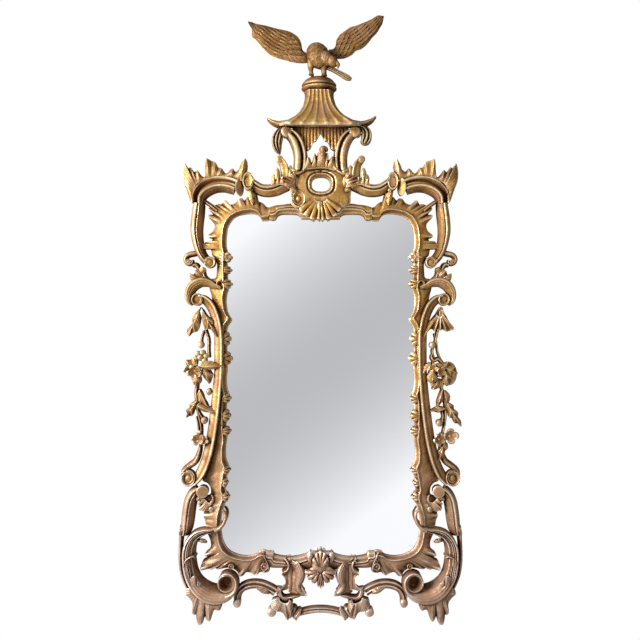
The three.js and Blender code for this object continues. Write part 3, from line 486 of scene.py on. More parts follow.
def scroll_eye(x, z, size, front, back=8.0, dish=0.35, ball=0.5, start=0.0, hand=1):
    """The rolled end of a scroll: a round rim, a dished face with a low ball in it, and
    a groove that winds in from the rim, deepest where q = 0.93 - 0.5 * angle/2pi."""
    wide, tall = np.broadcast_to(size, 2).astype(float)
    radius = (wide * tall) ** 0.5
    q = np.array([
        0.03, 0.12, 0.22, 0.32, 0.42, 0.5, 0.58, 0.66, 0.73, 0.8, 0.86, 0.91, 0.95, 0.985])
    rise = dish * (ball * (1 - (q / 0.42) ** 2).clip(0) - (1 - (q / 0.86) ** 2).clip(0))
    rise = rise - 0.2 * ((q - 0.84).clip(0) / 0.16) ** 2
    angle = np.linspace(0, 2 * np.pi, 48, endpoint=False)
    turned = np.mod(hand * (angle - np.radians(start)), 2 * np.pi) / (2 * np.pi)
    groove = np.exp(-(((q[:, None] - (0.93 - 0.5 * turned)) / 0.05) ** 2)) * (turned < 0.97)
    forward = front + radius * (rise[:, None] - 0.14 * groove)
    q = np.concatenate([q, [1.0, 1.0, 0.92]])[:, None]
    flank = np.array([front - 0.3 * radius, back + 0.3 * (front - back), back])
    forward = np.vstack([forward, flank[:, None] * np.ones(len(angle))])
    return skin(np.dstack([x + wide * q * np.cos(angle), forward, z + tall * q * np.sin(angle)]))


# Across -1 is the inner flank of a member that is drawn upwards on the right side.
fluted = [
    (-1, 0.05), (-0.97, 0.35), (-0.8, 0.55), (-0.62, 0.72), (-0.5, 0.88), (-0.4, 0.9),
    (-0.31, 0.8), (-0.2, 0.93), (-0.1, 0.83), (0.02, 0.96), (0.14, 0.86), (0.28, 0.98),
    (0.42, 0.87), (0.58, 1.0), (0.78, 1.0), (0.9, 0.85), (0.98, 0.5), (1, 0.05),
]
stem_round = [(-1, 0.1), (-0.96, 0.45), (-0.7, 0.8), (-0.3, 0.97), (0.1, 1.0), (0.5, 0.92),
              (0.85, 0.68), (0.98, 0.4), (1, 0.1)]


def foliage(spokes, root=44.0, rim=38.0, back=12.0, camber=3.0, steps=10, veins=0.45):
    """A mass of leaves: each spoke [root x, z, rim x, z, lift] runs from a root line to
    the leafy rim; lift in mm is linear between spokes, so that a high one makes the sharp
    ridge of a leaf: forward = root + (rim - root) * v + lift * v^0.8 + camber * sin(pi v).
    Two fine veins, veins * sin(4 pi t), run out in every gap between spokes t."""
    line = np.array(spokes, float)
    rows = steps * (len(line) - 1) + 1
    inner = drawn(line[:, :2], rows, even=False)[:, None]
    outer = drawn(line[:, 2:4], rows, even=False)[:, None]
    t = np.linspace(0, len(line) - 1, rows)
    lift = np.interp(t, np.arange(len(line)), line[:, 4])[:, None]
    v = np.linspace(0, 1, 14)
    face = root + (rim - root) * v + lift * v**0.8 + camber * np.sin(np.pi * v)
    face = face + veins * np.sin(4 * np.pi * t)[:, None] * v**0.5
    v = np.concatenate([v, [0.96, 0.93, 0.5, 0.05]])[None, :, None]
    plan = inner * (1 - v) + outer * v
    under = np.maximum(face[:, -1:] - 9, back)
    wall = np.full((rows, 3), back)
    return skin(np.dstack([plan[..., 0], np.hstack([face, under, wall]), plan[..., 1]]))


def fanned(x, z, size, start, end, lobes, lift=6.0, inner=0.3, **heights):
    """A shell-like fan of rounded lobes round (x, z), from start to end in degrees: rim
    = size * (1 - 0.16 * (1 - wave)^2) and lift = lift * (wave^0.6 - 0.6), where wave is
    |sin(pi * lobes * u)|."""
    wide, tall = np.broadcast_to(size, 2).astype(float)
    u = np.linspace(0, 1, 6 * lobes + 1)
    angle = np.radians(start + (end - start) * u)
    wave = np.abs(np.sin(np.pi * lobes * u))
    reach = 1 - 0.16 * (1 - wave) ** 2
    across = wide * np.cos(angle)
    up = tall * np.sin(angle)
    raised = lift * (wave**0.6 - 0.6)
    spokes = [x + inner * across, z + inner * up, x + reach * across, z + reach * up, raised]
    return foliage(np.stack(spokes, axis=1), steps=4, veins=0.0, **heights)


def edge(points, rows, ties=(), at_points=False):
    """A smooth edge in the drawing. Each tie (point number, share) fixes how far along
    the piece that point comes; between ties the rows are spaced evenly. at_points gives
    the share of each drawn point instead."""
    fine = 16
    line = drawn(points, fine * (len(points) - 1) + 1, even=False)
    gone = gone_along(line)
    marks = sorted([(0, 0.0), *ties, (len(points) - 1, 1.0)])
    places = [gone[n * fine] for n, _ in marks]
    shares = [s for _, s in marks]
    if at_points:
        return np.interp(gone[::fine], places, shares)
    wanted = np.interp(np.linspace(0, 1, rows), shares, places)
    return np.stack([np.interp(wanted, gone, column) for column in line.T], axis=1)


plate_play = 0.3  # mm between the plate and the wood round it
plate_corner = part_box("mirror_plate")[1] * mm_per_metre
rebate = (plate_corner.x + plate_play, plate_corner.z + plate_play)
glass_face = -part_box("mirror_plate")[0].y * mm_per_metre + plate_play
wall_side = 0.2  # backs of the frame, just off the wall plane
sight_profile = [  # distance from the glass edge, forward
    (0, glass_face), (0.3, 24), (2.5, 25), (5, 26.6), (7, 29), (8.8, 33), (10.2, 37.4),
    (11.2, 40), (12.2, 41.2), (13.2, 41), (14.4, 39.6), (16, 38.4), (18, 37.4), (20, 36.4),
]
rail_profile = [
    (0, glass_face), (0.3, 24), (1.5, 28), (3.5, 32), (6, 34), (9, 34.6), (12, 36), (14.2, 40),
    (16, 41.5), (18, 40.6), (19.6, 38), (21, 37.4), (23, 38.5), (26, 38),
]


def rocaille(inner, outer, rows, ties=(), pitch=21.0, lean=0.5, deep=5.0, lip=25.0,
             tips=0.0, profile=sight_profile):
    """A frame member between its glass edge and its carved outer edge. Near the glass it
    keeps the moulding's profile; the field falls away to the lip, and towards its rim
    flutes = deep * v^1.2 * (wave^0.6 - 0.6) fan out, where wave is
    |sin(pi * (s/pitch + lean * v * width/30))|, s mm along and the share v across.
    A rim point that stands out further than its neighbours lifts a ridge towards itself,
    by tips times the difference. Behind, it is flat but for the rebate of the plate."""
    a = edge(inner, rows)
    b = edge(outer, rows, ties)
    width = np.hypot(*(b - a).T)[:, None]
    from_glass, forward = np.array(profile).T
    shrink = np.minimum(1, 0.75 * width / from_glass[-1])
    near = from_glass * shrink / width
    v = np.linspace(0, 1, 16)[1:]
    far = near[:, -1:] + (1 - near[:, -1:]) * v
    gone = gone_along((a + b) / 2)[:, None]
    wave = np.abs(np.sin(np.pi * (gone / pitch + lean * v * width / 30)))
    field = forward[-1] + (lip - forward[-1]) * v**1.3
    field = field + deep * v**1.2 * (wave**0.6 - 0.6)
    knots = edge(outer, rows, ties, at_points=True)
    at = (knots * (rows - 1)).astype(int)
    stands = np.hypot(*(np.array(outer, float) - a[at]).T)
    beside = np.interp(np.arange(len(knots)) - 1.0, np.arange(len(knots)), stands)
    beyond = np.interp(np.arange(len(knots)) + 1.0, np.arange(len(knots)), stands)
    lift = np.clip(tips * (stands - (beside + beyond) / 2), -5, 7)
    field = field + np.interp(np.linspace(0, 1, rows), knots, lift)[:, None] * v**0.9
    room = np.maximum(b - a, 1e-3) * (b > a) + np.minimum(b - a, -1e-3) * (b <= a)
    leaves = (np.array(rebate) * np.sign(room) - a) / room
    wall = np.clip(leaves.min(1, keepdims=True), 0, 0.96)
    flat = np.ones((rows, 1))
    share = np.hstack([near, far, flat, flat, wall, wall])
    front = np.hstack([
        np.repeat(forward[None], rows, 0), field, flat * lip / 2, flat * wall_side,
        flat * wall_side, flat * glass_face,
    ])
    plan = a[:, None] * (1 - share[..., None]) + b[:, None] * share[..., None]
    return skin(np.dstack([plan[..., 0], front, plan[..., 1]]))


def scallop(x, z, wide, tall, front=40.5, back=24.0, ribs=3, fan=180.0):
    """A small shell that laps over the glass edge: an oval with its lobes
    |cos(ribs * a)| spreading towards the fan direction in degrees, scooped between a
    raised rim and its hinge, and falling by q^5 to the glass at the tips."""
    q = np.array([0.05, 0.2, 0.38, 0.55, 0.7, 0.83, 0.93, 1.0])[:, None]
    angle = np.linspace(0, 2 * np.pi, 54, endpoint=False)
    turned = angle - np.radians(fan)
    rib = np.abs(np.sin(ribs * turned + np.pi / 2))
    reach = 1 - 0.2 * (1 - rib) ** 1.5
    scoop = 3.2 * np.exp(-(((q - 0.5) / 0.22) ** 2)) * (0.5 + 0.5 * np.cos(turned))
    face = front - (front - back - 8) * q**5 + 3.0 * q * (rib**0.7 - 0.5) - scoop
    plan_x = wide * np.cos(angle) * np.vstack([q * reach, [reach * 0.95]])
    plan_z = tall * np.sin(angle) * np.vstack([q * reach, [reach * 0.95]])
    return skin(np.dstack([x + plan_x, np.vstack([face, 0 * angle + back]), z + plan_z]))


upper_corner = rocaille(
    [[141, 463], [145, 460], [160, 460], [164, 466], [172, 475], [187, 479], [206, 478],
     [225, 474], [238, 467], [248, 455], [255, 440], [258, 420], [259, 400], [258, 386],
     [255.5, 374], [256, 360], [257, 349], [256, 338.3]],
    [[141, 497], [149, 499], [155, 506], [162, 511], [171, 515], [174, 529], [178, 540],
     [183, 556], [189, 556], [193, 545], [197, 530], [203, 524], [210, 517], [216, 522],
     [226, 520], [233, 511], [240, 507], [248, 505], [255, 511], [262, 517], [268, 515],
     [273, 506], [283, 507], [292, 503], [305, 510], [317, 519], [322, 513], [318, 507],
     [311, 503], [302, 500], [307, 496], [308, 490], [300, 484], [296, 478], [306, 477],
     [309, 471], [297, 457], [292, 449], [294, 436], [300, 428], [308, 422], [309, 415],
     [299, 411], [301, 405], [314, 404], [321, 397], [330, 397], [331, 383], [316, 384],
     [303, 382], [299, 366], [292, 358], [287, 347], [285, 338.3]],
    rows=220,
    ties=[(10, 0.22), (17, 0.36), (26, 0.46), (35, 0.56), (40, 0.66), (48, 0.84)],
    deep=1.5, tips=0.75,
)
carving_pair("upper_corner_block", [
    upper_corner,
    scallop(262, 360, 19, 15),
    band([[326, 517, 4, 34], [312, 508, 4.5, 40], [298, 498, 4.5, 42], [284, 487, 4, 41]],
         stem_round, steps=40, back=12),
])

stile = rocaille(
    [[256, 337.8], [256, 326], [255, 312], [255, 302], [255, 285], [253, 271], [257, 258],
     [259, 240], [256, 212], [250, 198], [244, 189], [247, 180], [254, 170], [257.5, 157],
     [257.5, 130], [257.5, 100], [257, 70], [256, 52], [257.5, 38], [258.5, 20], [256, -3],
     [252, -17], [257, -32], [258.5, -50], [259, -70], [259, -95], [260, -103], [258, -120],
     [257, -138], [261, -165], [260, -195], [252, -217], [256, -232], [258, -247],
     [260, -262], [262, -279], [258, -290], [258, -308], [264, -321.7]],
    [[285, 337.8], [286, 316], [289, 303], [306, 297], [306, 275], [300, 250], [294, 215],
     [290, 180], [288, 120], [287, 60], [288, 0], [290, -50], [294, -100], [298, -140],
     [303, -180], [308, -205], [318, -235], [325, -255], [312, -262], [303, -275],
     [304, -294], [322, -302], [331, -312], [330, -321.7]],
    rows=300,
    ties=[(3, 0.08), (8, 0.37), (11, 0.57), (15, 0.78), (19, 0.92)],
    lean=0.8,
    pitch=30.0,
    deep=2.0,
)
sight_shells = [  # upper and lower end of each shell on the stile, and how far it reaches in
    (338, 312, 244), (302, 271, 243), (157, 113, 246.5), (102, 60, 243), (-14, -44, 246),
    (-58, -96, 247.5), (-105, -133, 246.5), (-212, -240, 248), (-246, -276, 254),
    (-285, -315, 250),
]
carving_pair("sight_stile", [
    stile,
    *[fanned(272, (top + low) / 2, (272 - reach, (top - low) / 1.85), 250, 110, 3,
             lift=3.0, inner=0.15, root=38, rim=33, back=24, camber=4)
      for top, low, reach in sight_shells],
])

lower_corner = rocaille(
    [[264, -322.3], [268, -336], [272, -350], [274, -368], [274, -385], [272, -402],
     [269, -418], [263, -432], [255, -444], [243, -453], [225, -460], [205, -463],
     [188, -461], [175, -457], [166, -449], [150, -449], [150, -478]],
    [[330, -322.3], [334, -325], [333, -337], [322, -341], [323, -352], [318, -366],
     [316, -382], [311, -402], [305, -416], [302, -432], [306, -445], [315, -453],
     [319, -461], [308, -469], [317, -473], [324, -476], [329, -488], [331, -500],
     [322, -502], [311, -499], [300, -501], [290, -497], [283, -499], [265, -497],
     [250, -496], [238, -500], [229, -508], [223, -518], [213, -517], [205, -509],
     [193, -510], [183, -515], [175, -515], [167, -508], [157, -509], [144, -507],
     [139, -498], [141, -483]],
    rows=200,
    ties=[(5, 0.12), (9, 0.33), (12, 0.42), (17, 0.52), (23, 0.62), (29, 0.78)],
    pitch=15.0, deep=3.6, tips=0.75,
)
carving_pair("lower_corner_block", [
    lower_corner,
    band([[160, -452, 3, 40], [157, -464, 6, 44], [152, -478, 8, 44], [150, -492, 10, 42],
          [150, -505, 8, 36]], fluted, steps=50, back=12),
    scroll_eye(245, -489, 8, 42, back=14, dish=0.5, ball=0.6),
    scroll_eye(154, -489, 10, 44, back=14, dish=0.5, ball=0.6),
])


def whole(half):
    """The left half of a rail's edge, then its right half, which is drawn."""
    return [[-x, z] for x, z in half[::-1] if x > 0] + half


top_rail = rocaille(
    whole([[0, 464], [50, 464], [53, 468], [62, 475], [75, 477], [105, 477], [116, 473],
           [121, 467], [124, 462], [134, 460], [140.7, 463]]),
    whole([[0, 507], [82, 507], [100, 505], [125, 502], [140.7, 497]]),
    rows=200, lip=30.0, deep=0.0, profile=rail_profile,
)
carving("top_rail", [top_rail])

bottom_rail = rocaille(
    whole([[0, -452], [22, -450], [30, -452], [45, -458], [60, -462], [85, -465],
           [105, -463], [120, -460], [127, -457], [131, -450], [149.7, -449]]),
    whole([[0, -500], [60, -498], [97, -495], [138.7, -493], [149.7, -477]]),
    rows=200, lip=30.0, deep=0.0, profile=rail_profile,
)
carving("bottom_rail", [bottom_rail])


# ---------------------------------------------------------------------------------------
# Side scrolls: long C and S members of pine, glued on in front of the frame. Each has a
# worn outer slope, a bright ridge, a fine groove with a bead, and a deep inner flank.
grooved = [
    (-1, 0.05), (-0.97, 0.3), (-0.8, 0.5), (-0.5, 0.7), (-0.24, 0.82), (-0.18, 0.89),
    (-0.1, 0.92), (-0.03, 0.9), (0.03, 0.87), (0.09, 0.9), (0.18, 0.98), (0.32, 1.0),
    (0.5, 0.97), (0.7, 0.9), (0.88, 0.78), (0.97, 0.55), (1, 0.3), (1, 0.05),
]
ridged = [
    (-1, 0.05), (-0.99, 0.35), (-0.95, 0.66), (-0.88, 0.9), (-0.74, 1.0), (-0.5, 0.99),
    (-0.34, 0.95), (-0.2, 0.9), (-0.1, 0.87), (0.1, 0.86), (0.5, 0.8),
    (0.82, 0.71), (0.96, 0.5), (1, 0.25), (1, 0.05),
]
belly = [
    (-1, 0.05), (-0.98, 0.3), (-0.85, 0.5), (-0.66, 0.66), (-0.5, 0.76), (-0.4, 0.84),
    (-0.31, 0.88), (-0.2, 0.92), (-0.1, 0.95), (0.02, 0.97), (0.14, 0.99), (0.28, 1.0),
    (0.42, 1.0), (0.58, 0.98), (0.78, 0.9), (0.9, 0.76), (0.98, 0.5), (1, 0.05),
]


def dome(x, z, size, front, back=16.0, high=0.75, tilt=(0.0, 0.0)):
    """A berry, bud or boss: forward = front + high * radius * (sqrt(1 - q^2) - 1), and a
    tilt leans it over, so many mm forward for each mm right and up."""
    wide, tall = np.broadcast_to(size, 2).astype(float)
    q = np.sin(np.radians(np.array([6, 20, 34, 48, 62, 76, 90])))[:, None]
    angle = np.linspace(0, 2 * np.pi, 24, endpoint=False)
    rise = high * (wide * tall) ** 0.5 * (np.sqrt(1 - q**2) - 1)
    lean = q * (tilt[0] * wide * np.cos(angle) + tilt[1] * tall * np.sin(angle))
    q = np.vstack([q, [[0.9]]])
    forward = np.vstack([front + rise + lean, 0 * angle + back])
    return skin(np.dstack([x + wide * q * np.cos(angle), forward, z + tall * q * np.sin(angle)]))


def leaf(points, lobes=(2, 2), notch=0.34, sweep=0.55, fold=0.6, flute=0.2, thick=15.0, rows=60):
    """An acanthus leaf on a midrib line [x, z, half width, forward]. With v across from
    -1 to 1 and u along, each side's edge is half * (1 - notch * (1 - |sin(pi n u)|)^2), the
    lobes sweep forward by |v|^1.5, the blade falls away from a folded midrib and each
    lobe is a raised flute."""
    x, z, half, front = drawn(points, rows).T[:, :, None]
    u = np.linspace(0, 1, rows)[:, None]
    v = np.linspace(-1, 1, 29)[None]
    count = np.where(v < 0, lobes[0], lobes[1])
    wave = np.where(count > 0, np.abs(np.sin(np.pi * count * u)), 1.0)
    spread = np.abs(v)
    reach = v * half * (1 - notch * (1 - wave) ** 2 * spread * (u < 0.97))
    ahead = sweep * half * spread**1.5 * (1 - u) ** 0.5
    vein = 0.05 * np.exp(-((v / 0.1) ** 2)) - 0.1 * np.exp(-(((spread - 0.24) / 0.09) ** 2))
    height = fold * (1 - spread**1.2) + flute * spread**0.8 * (wave - 0.6) + vein
    face = front + half * (height - 0.35)
    right = sides(np.hstack([x, z]))
    way = np.stack([-right[:, 1], right[:, 0]], axis=1)
    plan_x = x + right[:, :1] * reach + way[:, :1] * ahead
    plan_z = z + right[:, 1:] * reach + way[:, 1:] * ahead
    behind = np.maximum(np.minimum(face, front) - thick, 7.0)
    inner = [26, 20, 14, 8, 2]
    return skin(np.concatenate([
        np.dstack([plan_x, face, plan_z]),
        np.dstack([plan_x[:, inner], behind[:, inner], plan_z[:, inner]]),
    ], axis=1))


def curl(x, z, radius, start, sweep, half, front, shrink=0.7, points=9):
    """Drawn points of a spiral: the radius shrinks evenly as the angle turns by sweep,
    and the member gets narrower with it."""
    t = np.linspace(0, 1, points)
    angle = np.radians(start + sweep * t)
    out = radius * (1 - shrink * t)
    return np.stack([x + out * np.cos(angle), z + out * np.sin(angle),
                     half * (1 - 0.65 * t), front + 0 * t], axis=1).tolist()


carving_pair("long_side_scroll", [
    band([[351, -259, 13, 48], [336, -243, 14, 50], [324, -222, 14, 50], [313, -192, 14, 50],
          [304, -155, 14, 50], [297, -115, 14, 50], [291, -70, 14, 50], [286, -25, 13.5, 50],
          [282, 20, 13, 50], [280, 60, 13, 50], [280, 140, 13, 50], [284, 172, 13, 50],
          [291, 200, 13, 50], [303, 226, 13, 50], [320, 243, 12, 50], [336, 247, 11, 48]],
         ridged, steps=190),
    scroll_eye(338, 243, (16, 17.5), 50, dish=0.45, ball=0.3, start=-60, hand=-1),
    scroll_eye(362, -246, (20, 23), 50, dish=0.3, ball=0.7, start=60, hand=1),
    band([[329, -150, 4, 40], [333, -175, 7, 42], [343, -200, 9, 42], [360, -214, 9, 44],
          [375, -226, 8, 46], [380, -238, 5, 44]], stem_round, steps=50),
    *[band([[362 + 5 * k, -212 - 5 * k, 2, 47], [373 + 3 * k, -224 - 4 * k, 2.6, 49],
            [381 - 2 * k, -235 - 3 * k, 1.5, 46]], stem_round, back=36, steps=16)
      for k in range(3)],
])

hollow_backed = [
    (-1, 0.05), (-0.98, 0.3), (-0.86, 0.5), (-0.64, 0.74), (-0.56, 0.86), (-0.5, 0.8),
    (-0.44, 0.86), (-0.34, 0.97), (-0.2, 1.0), (-0.06, 0.95), (0.06, 0.78), (0.16, 0.6),
    (0.3, 0.52), (0.5, 0.52), (0.7, 0.64), (0.82, 0.84), (0.92, 0.86), (1, 0.6), (1, 0.05),
]
four_banded = [
    (-1, 0.05), (-0.98, 0.34), (-0.8, 0.58), (-0.6, 0.76), (-0.48, 0.9), (-0.36, 0.97),
    (-0.2, 0.96), (-0.12, 0.86), (-0.04, 0.88), (0.1, 0.9), (0.2, 0.88), (0.28, 0.77),
    (0.36, 0.8), (0.5, 0.93), (0.62, 0.97), (0.8, 0.93), (0.93, 0.74), (1, 0.4), (1, 0.05),
]
carving_pair("crown_scroll", [
    band([[335.5, 507, 17, 54], [334, 525, 19, 58], [324, 541, 21, 59], [307, 553, 22, 59],
          [287, 560, 22, 58], [264, 561, 22, 58], [244, 557, 22, 58], [232, 552, 21, 58]],
         hollow_backed, steps=110, to=four_banded),
    dome(222, 551, (11, 24), 50, back=8, high=0.2, tilt=(0.75, 0.1)),
])

carving_pair("upper_side_scroll", [
    band([[306, 345, 13, 46], [322, 361, 13, 50], [332, 381, 14, 50], [338, 405, 15.5, 50],
          [341, 430, 17, 50], [340, 455, 17.5, 50], [337, 480, 17.5, 50], [334, 506, 16, 50]],
         grooved, steps=110),
    scroll_eye(303, 345, 16, 50, dish=0.2, ball=0.6, start=90, hand=-1),
    band([[329, 378, 6, 40], [342, 371, 8, 44], *curl(357, 350, 17, 80, -280, 8, 46)],
         stem_round, back=14, steps=60),
    scroll_eye(362, 347, 7, 47, back=14, dish=0.1, ball=1.5),
    band([[352, 338, 6, 42], [342, 338, 8, 42], [335, 328, 7, 42], [332, 316, 6, 40]],
         stem_round, steps=24),
])

strokes = [  # shallow strokes that follow a leaf round, -1 on its inner side
    (-1, 0.1), (-0.96, 0.55), (-0.85, 0.72), (-0.72, 0.74), (-0.6, 0.84), (-0.45, 0.84),
    (-0.3, 0.93), (-0.12, 0.92), (0.05, 0.99), (0.25, 0.97), (0.5, 1.0), (0.75, 0.95),
    (0.92, 0.8), (0.99, 0.5), (1, 0.1),
]
carving_pair("shoulder_leaf", [
    band([[352, 228, 4, 44], [360, 242, 10, 48], [359, 262, 13, 51], [348, 281, 15, 51],
          [328, 291, 14, 51], [308, 289, 12, 50], [292, 281, 9, 48], [279, 277, 6, 47],
          *curl(274, 287, 11, -90, 250, 5, 47, shrink=0.6)], strokes, back=16, steps=110),
    band([[322, 322, 5, 40], [318, 305, 7, 43], [305, 292, 8, 43]], stem_round, steps=20),
    foliage([[338, 290, 352, 288, 0], [335, 294, 358, 300, 3], [332, 298, 358, 314, 7],
             [329, 302, 348, 312, -3], [326, 306, 344, 322, 4], [323, 312, 334, 326, -2],
             [318, 318, 326, 333, 2], [314, 320, 316, 330, 0]], root=42, rim=42, back=20),
])

carving_pair("lower_outer_scroll", [
    band([[372, -404, 11, 46], [368, -385, 16, 50], [365, -360, 18, 50], [362, -335, 18, 50],
          [357, -310, 18, 50], [347, -290, 17, 50], [334, -280, 15, 50]], grooved, steps=100),
    dome(323, -283, (16.5, 17), 50.5, back=8, high=0.14, tilt=(0.1, 0.05)),
    foliage([[330, -290, 338, -296, 0], [326, -296, 340, -306, 3], [322, -300, 331, -312, -3],
             [318, -304, 336, -318, 3], [314, -308, 327, -322, -3], [310, -312, 333, -330, 3],
             [306, -314, 320, -338, 1], [302, -312, 308, -334, -3], [298, -306, 300, -322, 0],
             [298, -298, 292, -308, 2], [300, -292, 293, -296, 0]],
            root=40, rim=38, back=30),
    dome(300, -333, (7, 8), 40, back=26, high=0.4),
    band([[343, -580, 5, 40], [359, -558, 6, 42], [374, -530, 6, 42], [382.5, -500, 6, 42],
          [385.5, -465, 6, 42], [384.5, -430, 6, 42], [382, -400, 7, 44], [379, -380, 8, 46]],
         stem_round, steps=80),
    *[band([[372 + 5 * k, -377 - 2 * k, 2, 48], [377 + 4 * k, -388 - 2 * k, 2.6, 50],
            [384 + 1.5 * k, -402, 1.2, 44]], stem_round, back=36, steps=16) for k in range(3)],
])

volute = [  # drawn to the right of the line's way up round the bowl
    (-1, 0.1), (-0.95, 0.6), (-0.7, 0.92), (-0.4, 1.0), (0.0, 0.93), (0.5, 0.78), (0.9, 0.5),
    (1, 0.1),
]
carving_pair("lower_c_scroll", [
    band([[240, -556, 12, 56], [262, -566, 21, 60], [284, -568, 26, 61], [306, -564, 27, 61],
          [328, -550, 25, 61], [345, -530, 22, 60], [356, -505, 20, 60], [361, -475, 19, 60],
          [361, -445, 18, 60], [354, -421, 16, 60], [339, -403, 14, 60], [318, -394, 11, 60],
          [297, -390, 7.5, 60], [278, -384, 6, 58]], belly, steps=170, to=fluted),
    scroll_eye(257, -532, (25, 26), 58, dish=1.25, ball=0.1, start=-40),
    band([[274, -568, 11, 58], [254, -562, 12, 60], [241, -553, 12, 61], [235.5, -539, 12, 61],
          [236, -525, 11, 61], [243, -514, 9.5, 61], [255, -508.5, 8, 60], [267, -511, 6, 58],
          [274, -518, 3.5, 56]], volute, steps=90),
    band([[290, -388, 7, 58], [277, -382, 6, 60], [264.5, -368, 5, 60], [259.5, -352, 4.5, 58],
          [261, -340, 4, 56], [268, -332, 3, 54]], stem_round, back=45, steps=40),
    band([[374, -488, 2, 60], [370, -472, 4, 61], [360, -462, 5, 61], [348, -458, 5, 60],
          [341, -462, 3, 57]], stem_round, steps=40),
    *[band([[369 - 5 * k, -480 - 2 * k, 2, 59], [366 - 5.5 * k, -500, 3.2, 60],
            [358 - 3 * k, -525, 2.6, 60], [344 - 1.5 * k, -546, 1, 57]], stem_round, steps=30)
      for k in range(3)],
    foliage([[346, -552, 352, -534, -2], [343, -549, 354, -518, 2], [340, -547, 344, -508, 5],
             [337, -545, 337, -518, -3], [334, -543, 334, -524, 2], [330, -542, 327, -530, -2]],
            root=54, rim=59, back=40),
    leaf([[336, -418, 2, 44], [328, -417, 5, 48], [320, -418, 5, 48], [311, -423, 1, 44]],
         lobes=(0, 2)),
])

carving_pair("foot_leaf", [foliage([
    [352, -546, 367, -547, 0], [346, -556, 370, -562, 4], [342, -562, 359, -574, 1],
    [338, -566, 350, -590, 0], [336, -568, 351, -612, 6], [333, -571, 346, -620, 1],
    [330, -574, 342, -620, -3], [328, -576, 339, -634, 2], [325, -578, 335, -644, 6],
    [321, -581, 328, -646, 7], [318, -582, 321, -640, 3], [315, -583, 317, -626, -5],
    [311, -584, 312, -633, 3], [306, -585, 305, -637, 7], [301, -586, 299, -630, 3],
    [294, -587, 291, -607, 0], [286, -588, 277, -608, 2], [276, -588, 270, -598, -2],
], root=48, rim=44)])

carving_pair("crown_leaves", [foliage([
    [348, 508, 356, 512, 0], [348, 528, 366, 542, 3], [346, 542, 375, 566, 2],
    [344, 550, 377, 592, 3], [342, 554, 371, 615, 10], [340, 557, 364, 603, 0],
    [338, 560, 355, 605, 3], [335, 562, 346, 593, -3], [331, 564, 338, 598, 3],
    [326, 567, 327, 584, -3], [320, 570, 319, 580, -5], [315, 572, 316, 597, 1],
    [310, 573, 315, 613, 3], [304, 574, 311, 628, 11], [299, 575, 300, 624, 0],
    [293, 576, 288, 619, 3], [286, 577, 279, 605, -2], [280, 577, 271, 604, 2],
    [272, 578, 262, 591, -4], [262, 578, 256, 590, -4], [252, 577, 247, 599, 1],
    [245, 576, 240, 602, 3], [239, 574, 233, 594, -3], [231, 572, 224, 600, 0],
    [225, 570, 218, 613, 5], [219, 568, 207, 629, 9], [215, 566, 200, 618, -1],
    [213, 564, 202, 600, -4], [210, 562, 207, 580, -6],
], root=47, rim=40, camber=5)])


# ---------------------------------------------------------------------------------------
# Garlands: leaves, berries and open flowers on thin stems, carved in one drop for each
# side and pinned between the long scroll and the stile. The two sides are not alike.


def whorl(x, z, size, front, petals=5, turn=0.0, tilt=(0.0, 0.0), back=16.0, cup=0.35):
    """A ring of petals round a point: the outline is 1 - 0.35 * (1 - |sin(n a/2)|)^1.5,
    every petal is cupped, rounded across and rolled back at its rim."""
    q = np.array([0.06, 0.2, 0.34, 0.48, 0.6, 0.7, 0.79, 0.87, 0.94, 1.0])[:, None]
    angle = np.linspace(0, 2 * np.pi, 18 * petals, endpoint=False)
    petal = np.abs(np.sin(petals * (angle - turn) / 2))
    reach = size * q * (1 - 0.35 * (1 - petal) ** 1.5 * q)
    rise = cup * q**1.3 - 1.4 * (q - 0.8).clip(0) + 0.22 * q * (petal**0.6 - 0.7)
    dx = reach * np.cos(angle)
    dz = reach * np.sin(angle)
    face = front + size * rise + tilt[0] * dx + tilt[1] * dz
    under = np.maximum(face[-1:] - 6, back - 2)
    wall = np.full_like(under, back)
    plan_x = x + np.vstack([dx, dx[-1:] * 0.92, dx[-1:] * 0.45])
    plan_z = z + np.vstack([dz, dz[-1:] * 0.92, dz[-1:] * 0.45])
    return skin(np.dstack([plan_x, np.vstack([face, under, wall]), plan_z]))


def stalk(*points):
    """A thin round stem through drawn points [x, z, half width, forward]."""
    return band(points, stem_round, back=16, steps=20 * len(points))


def lobed(base, tip, rim, high=50.0, low=42.0, back=16.0):
    """A broad leaf or petal: spokes run from its midrib, which goes from base to tip, to
    the drawn rim [x, z, lift]; each leaves the midrib a little before it comes abreast."""
    base = np.array(base, float)
    way = np.array(tip, float) - base
    rim = np.array(rim, float)
    share = ((rim[:, :2] - base) @ way / (way @ way) * 0.85 - 0.12).clip(0, 0.8)
    roots = base + share[:, None] * way
    return foliage(np.hstack([roots, rim]), root=high, rim=low, back=back, camber=1.5)


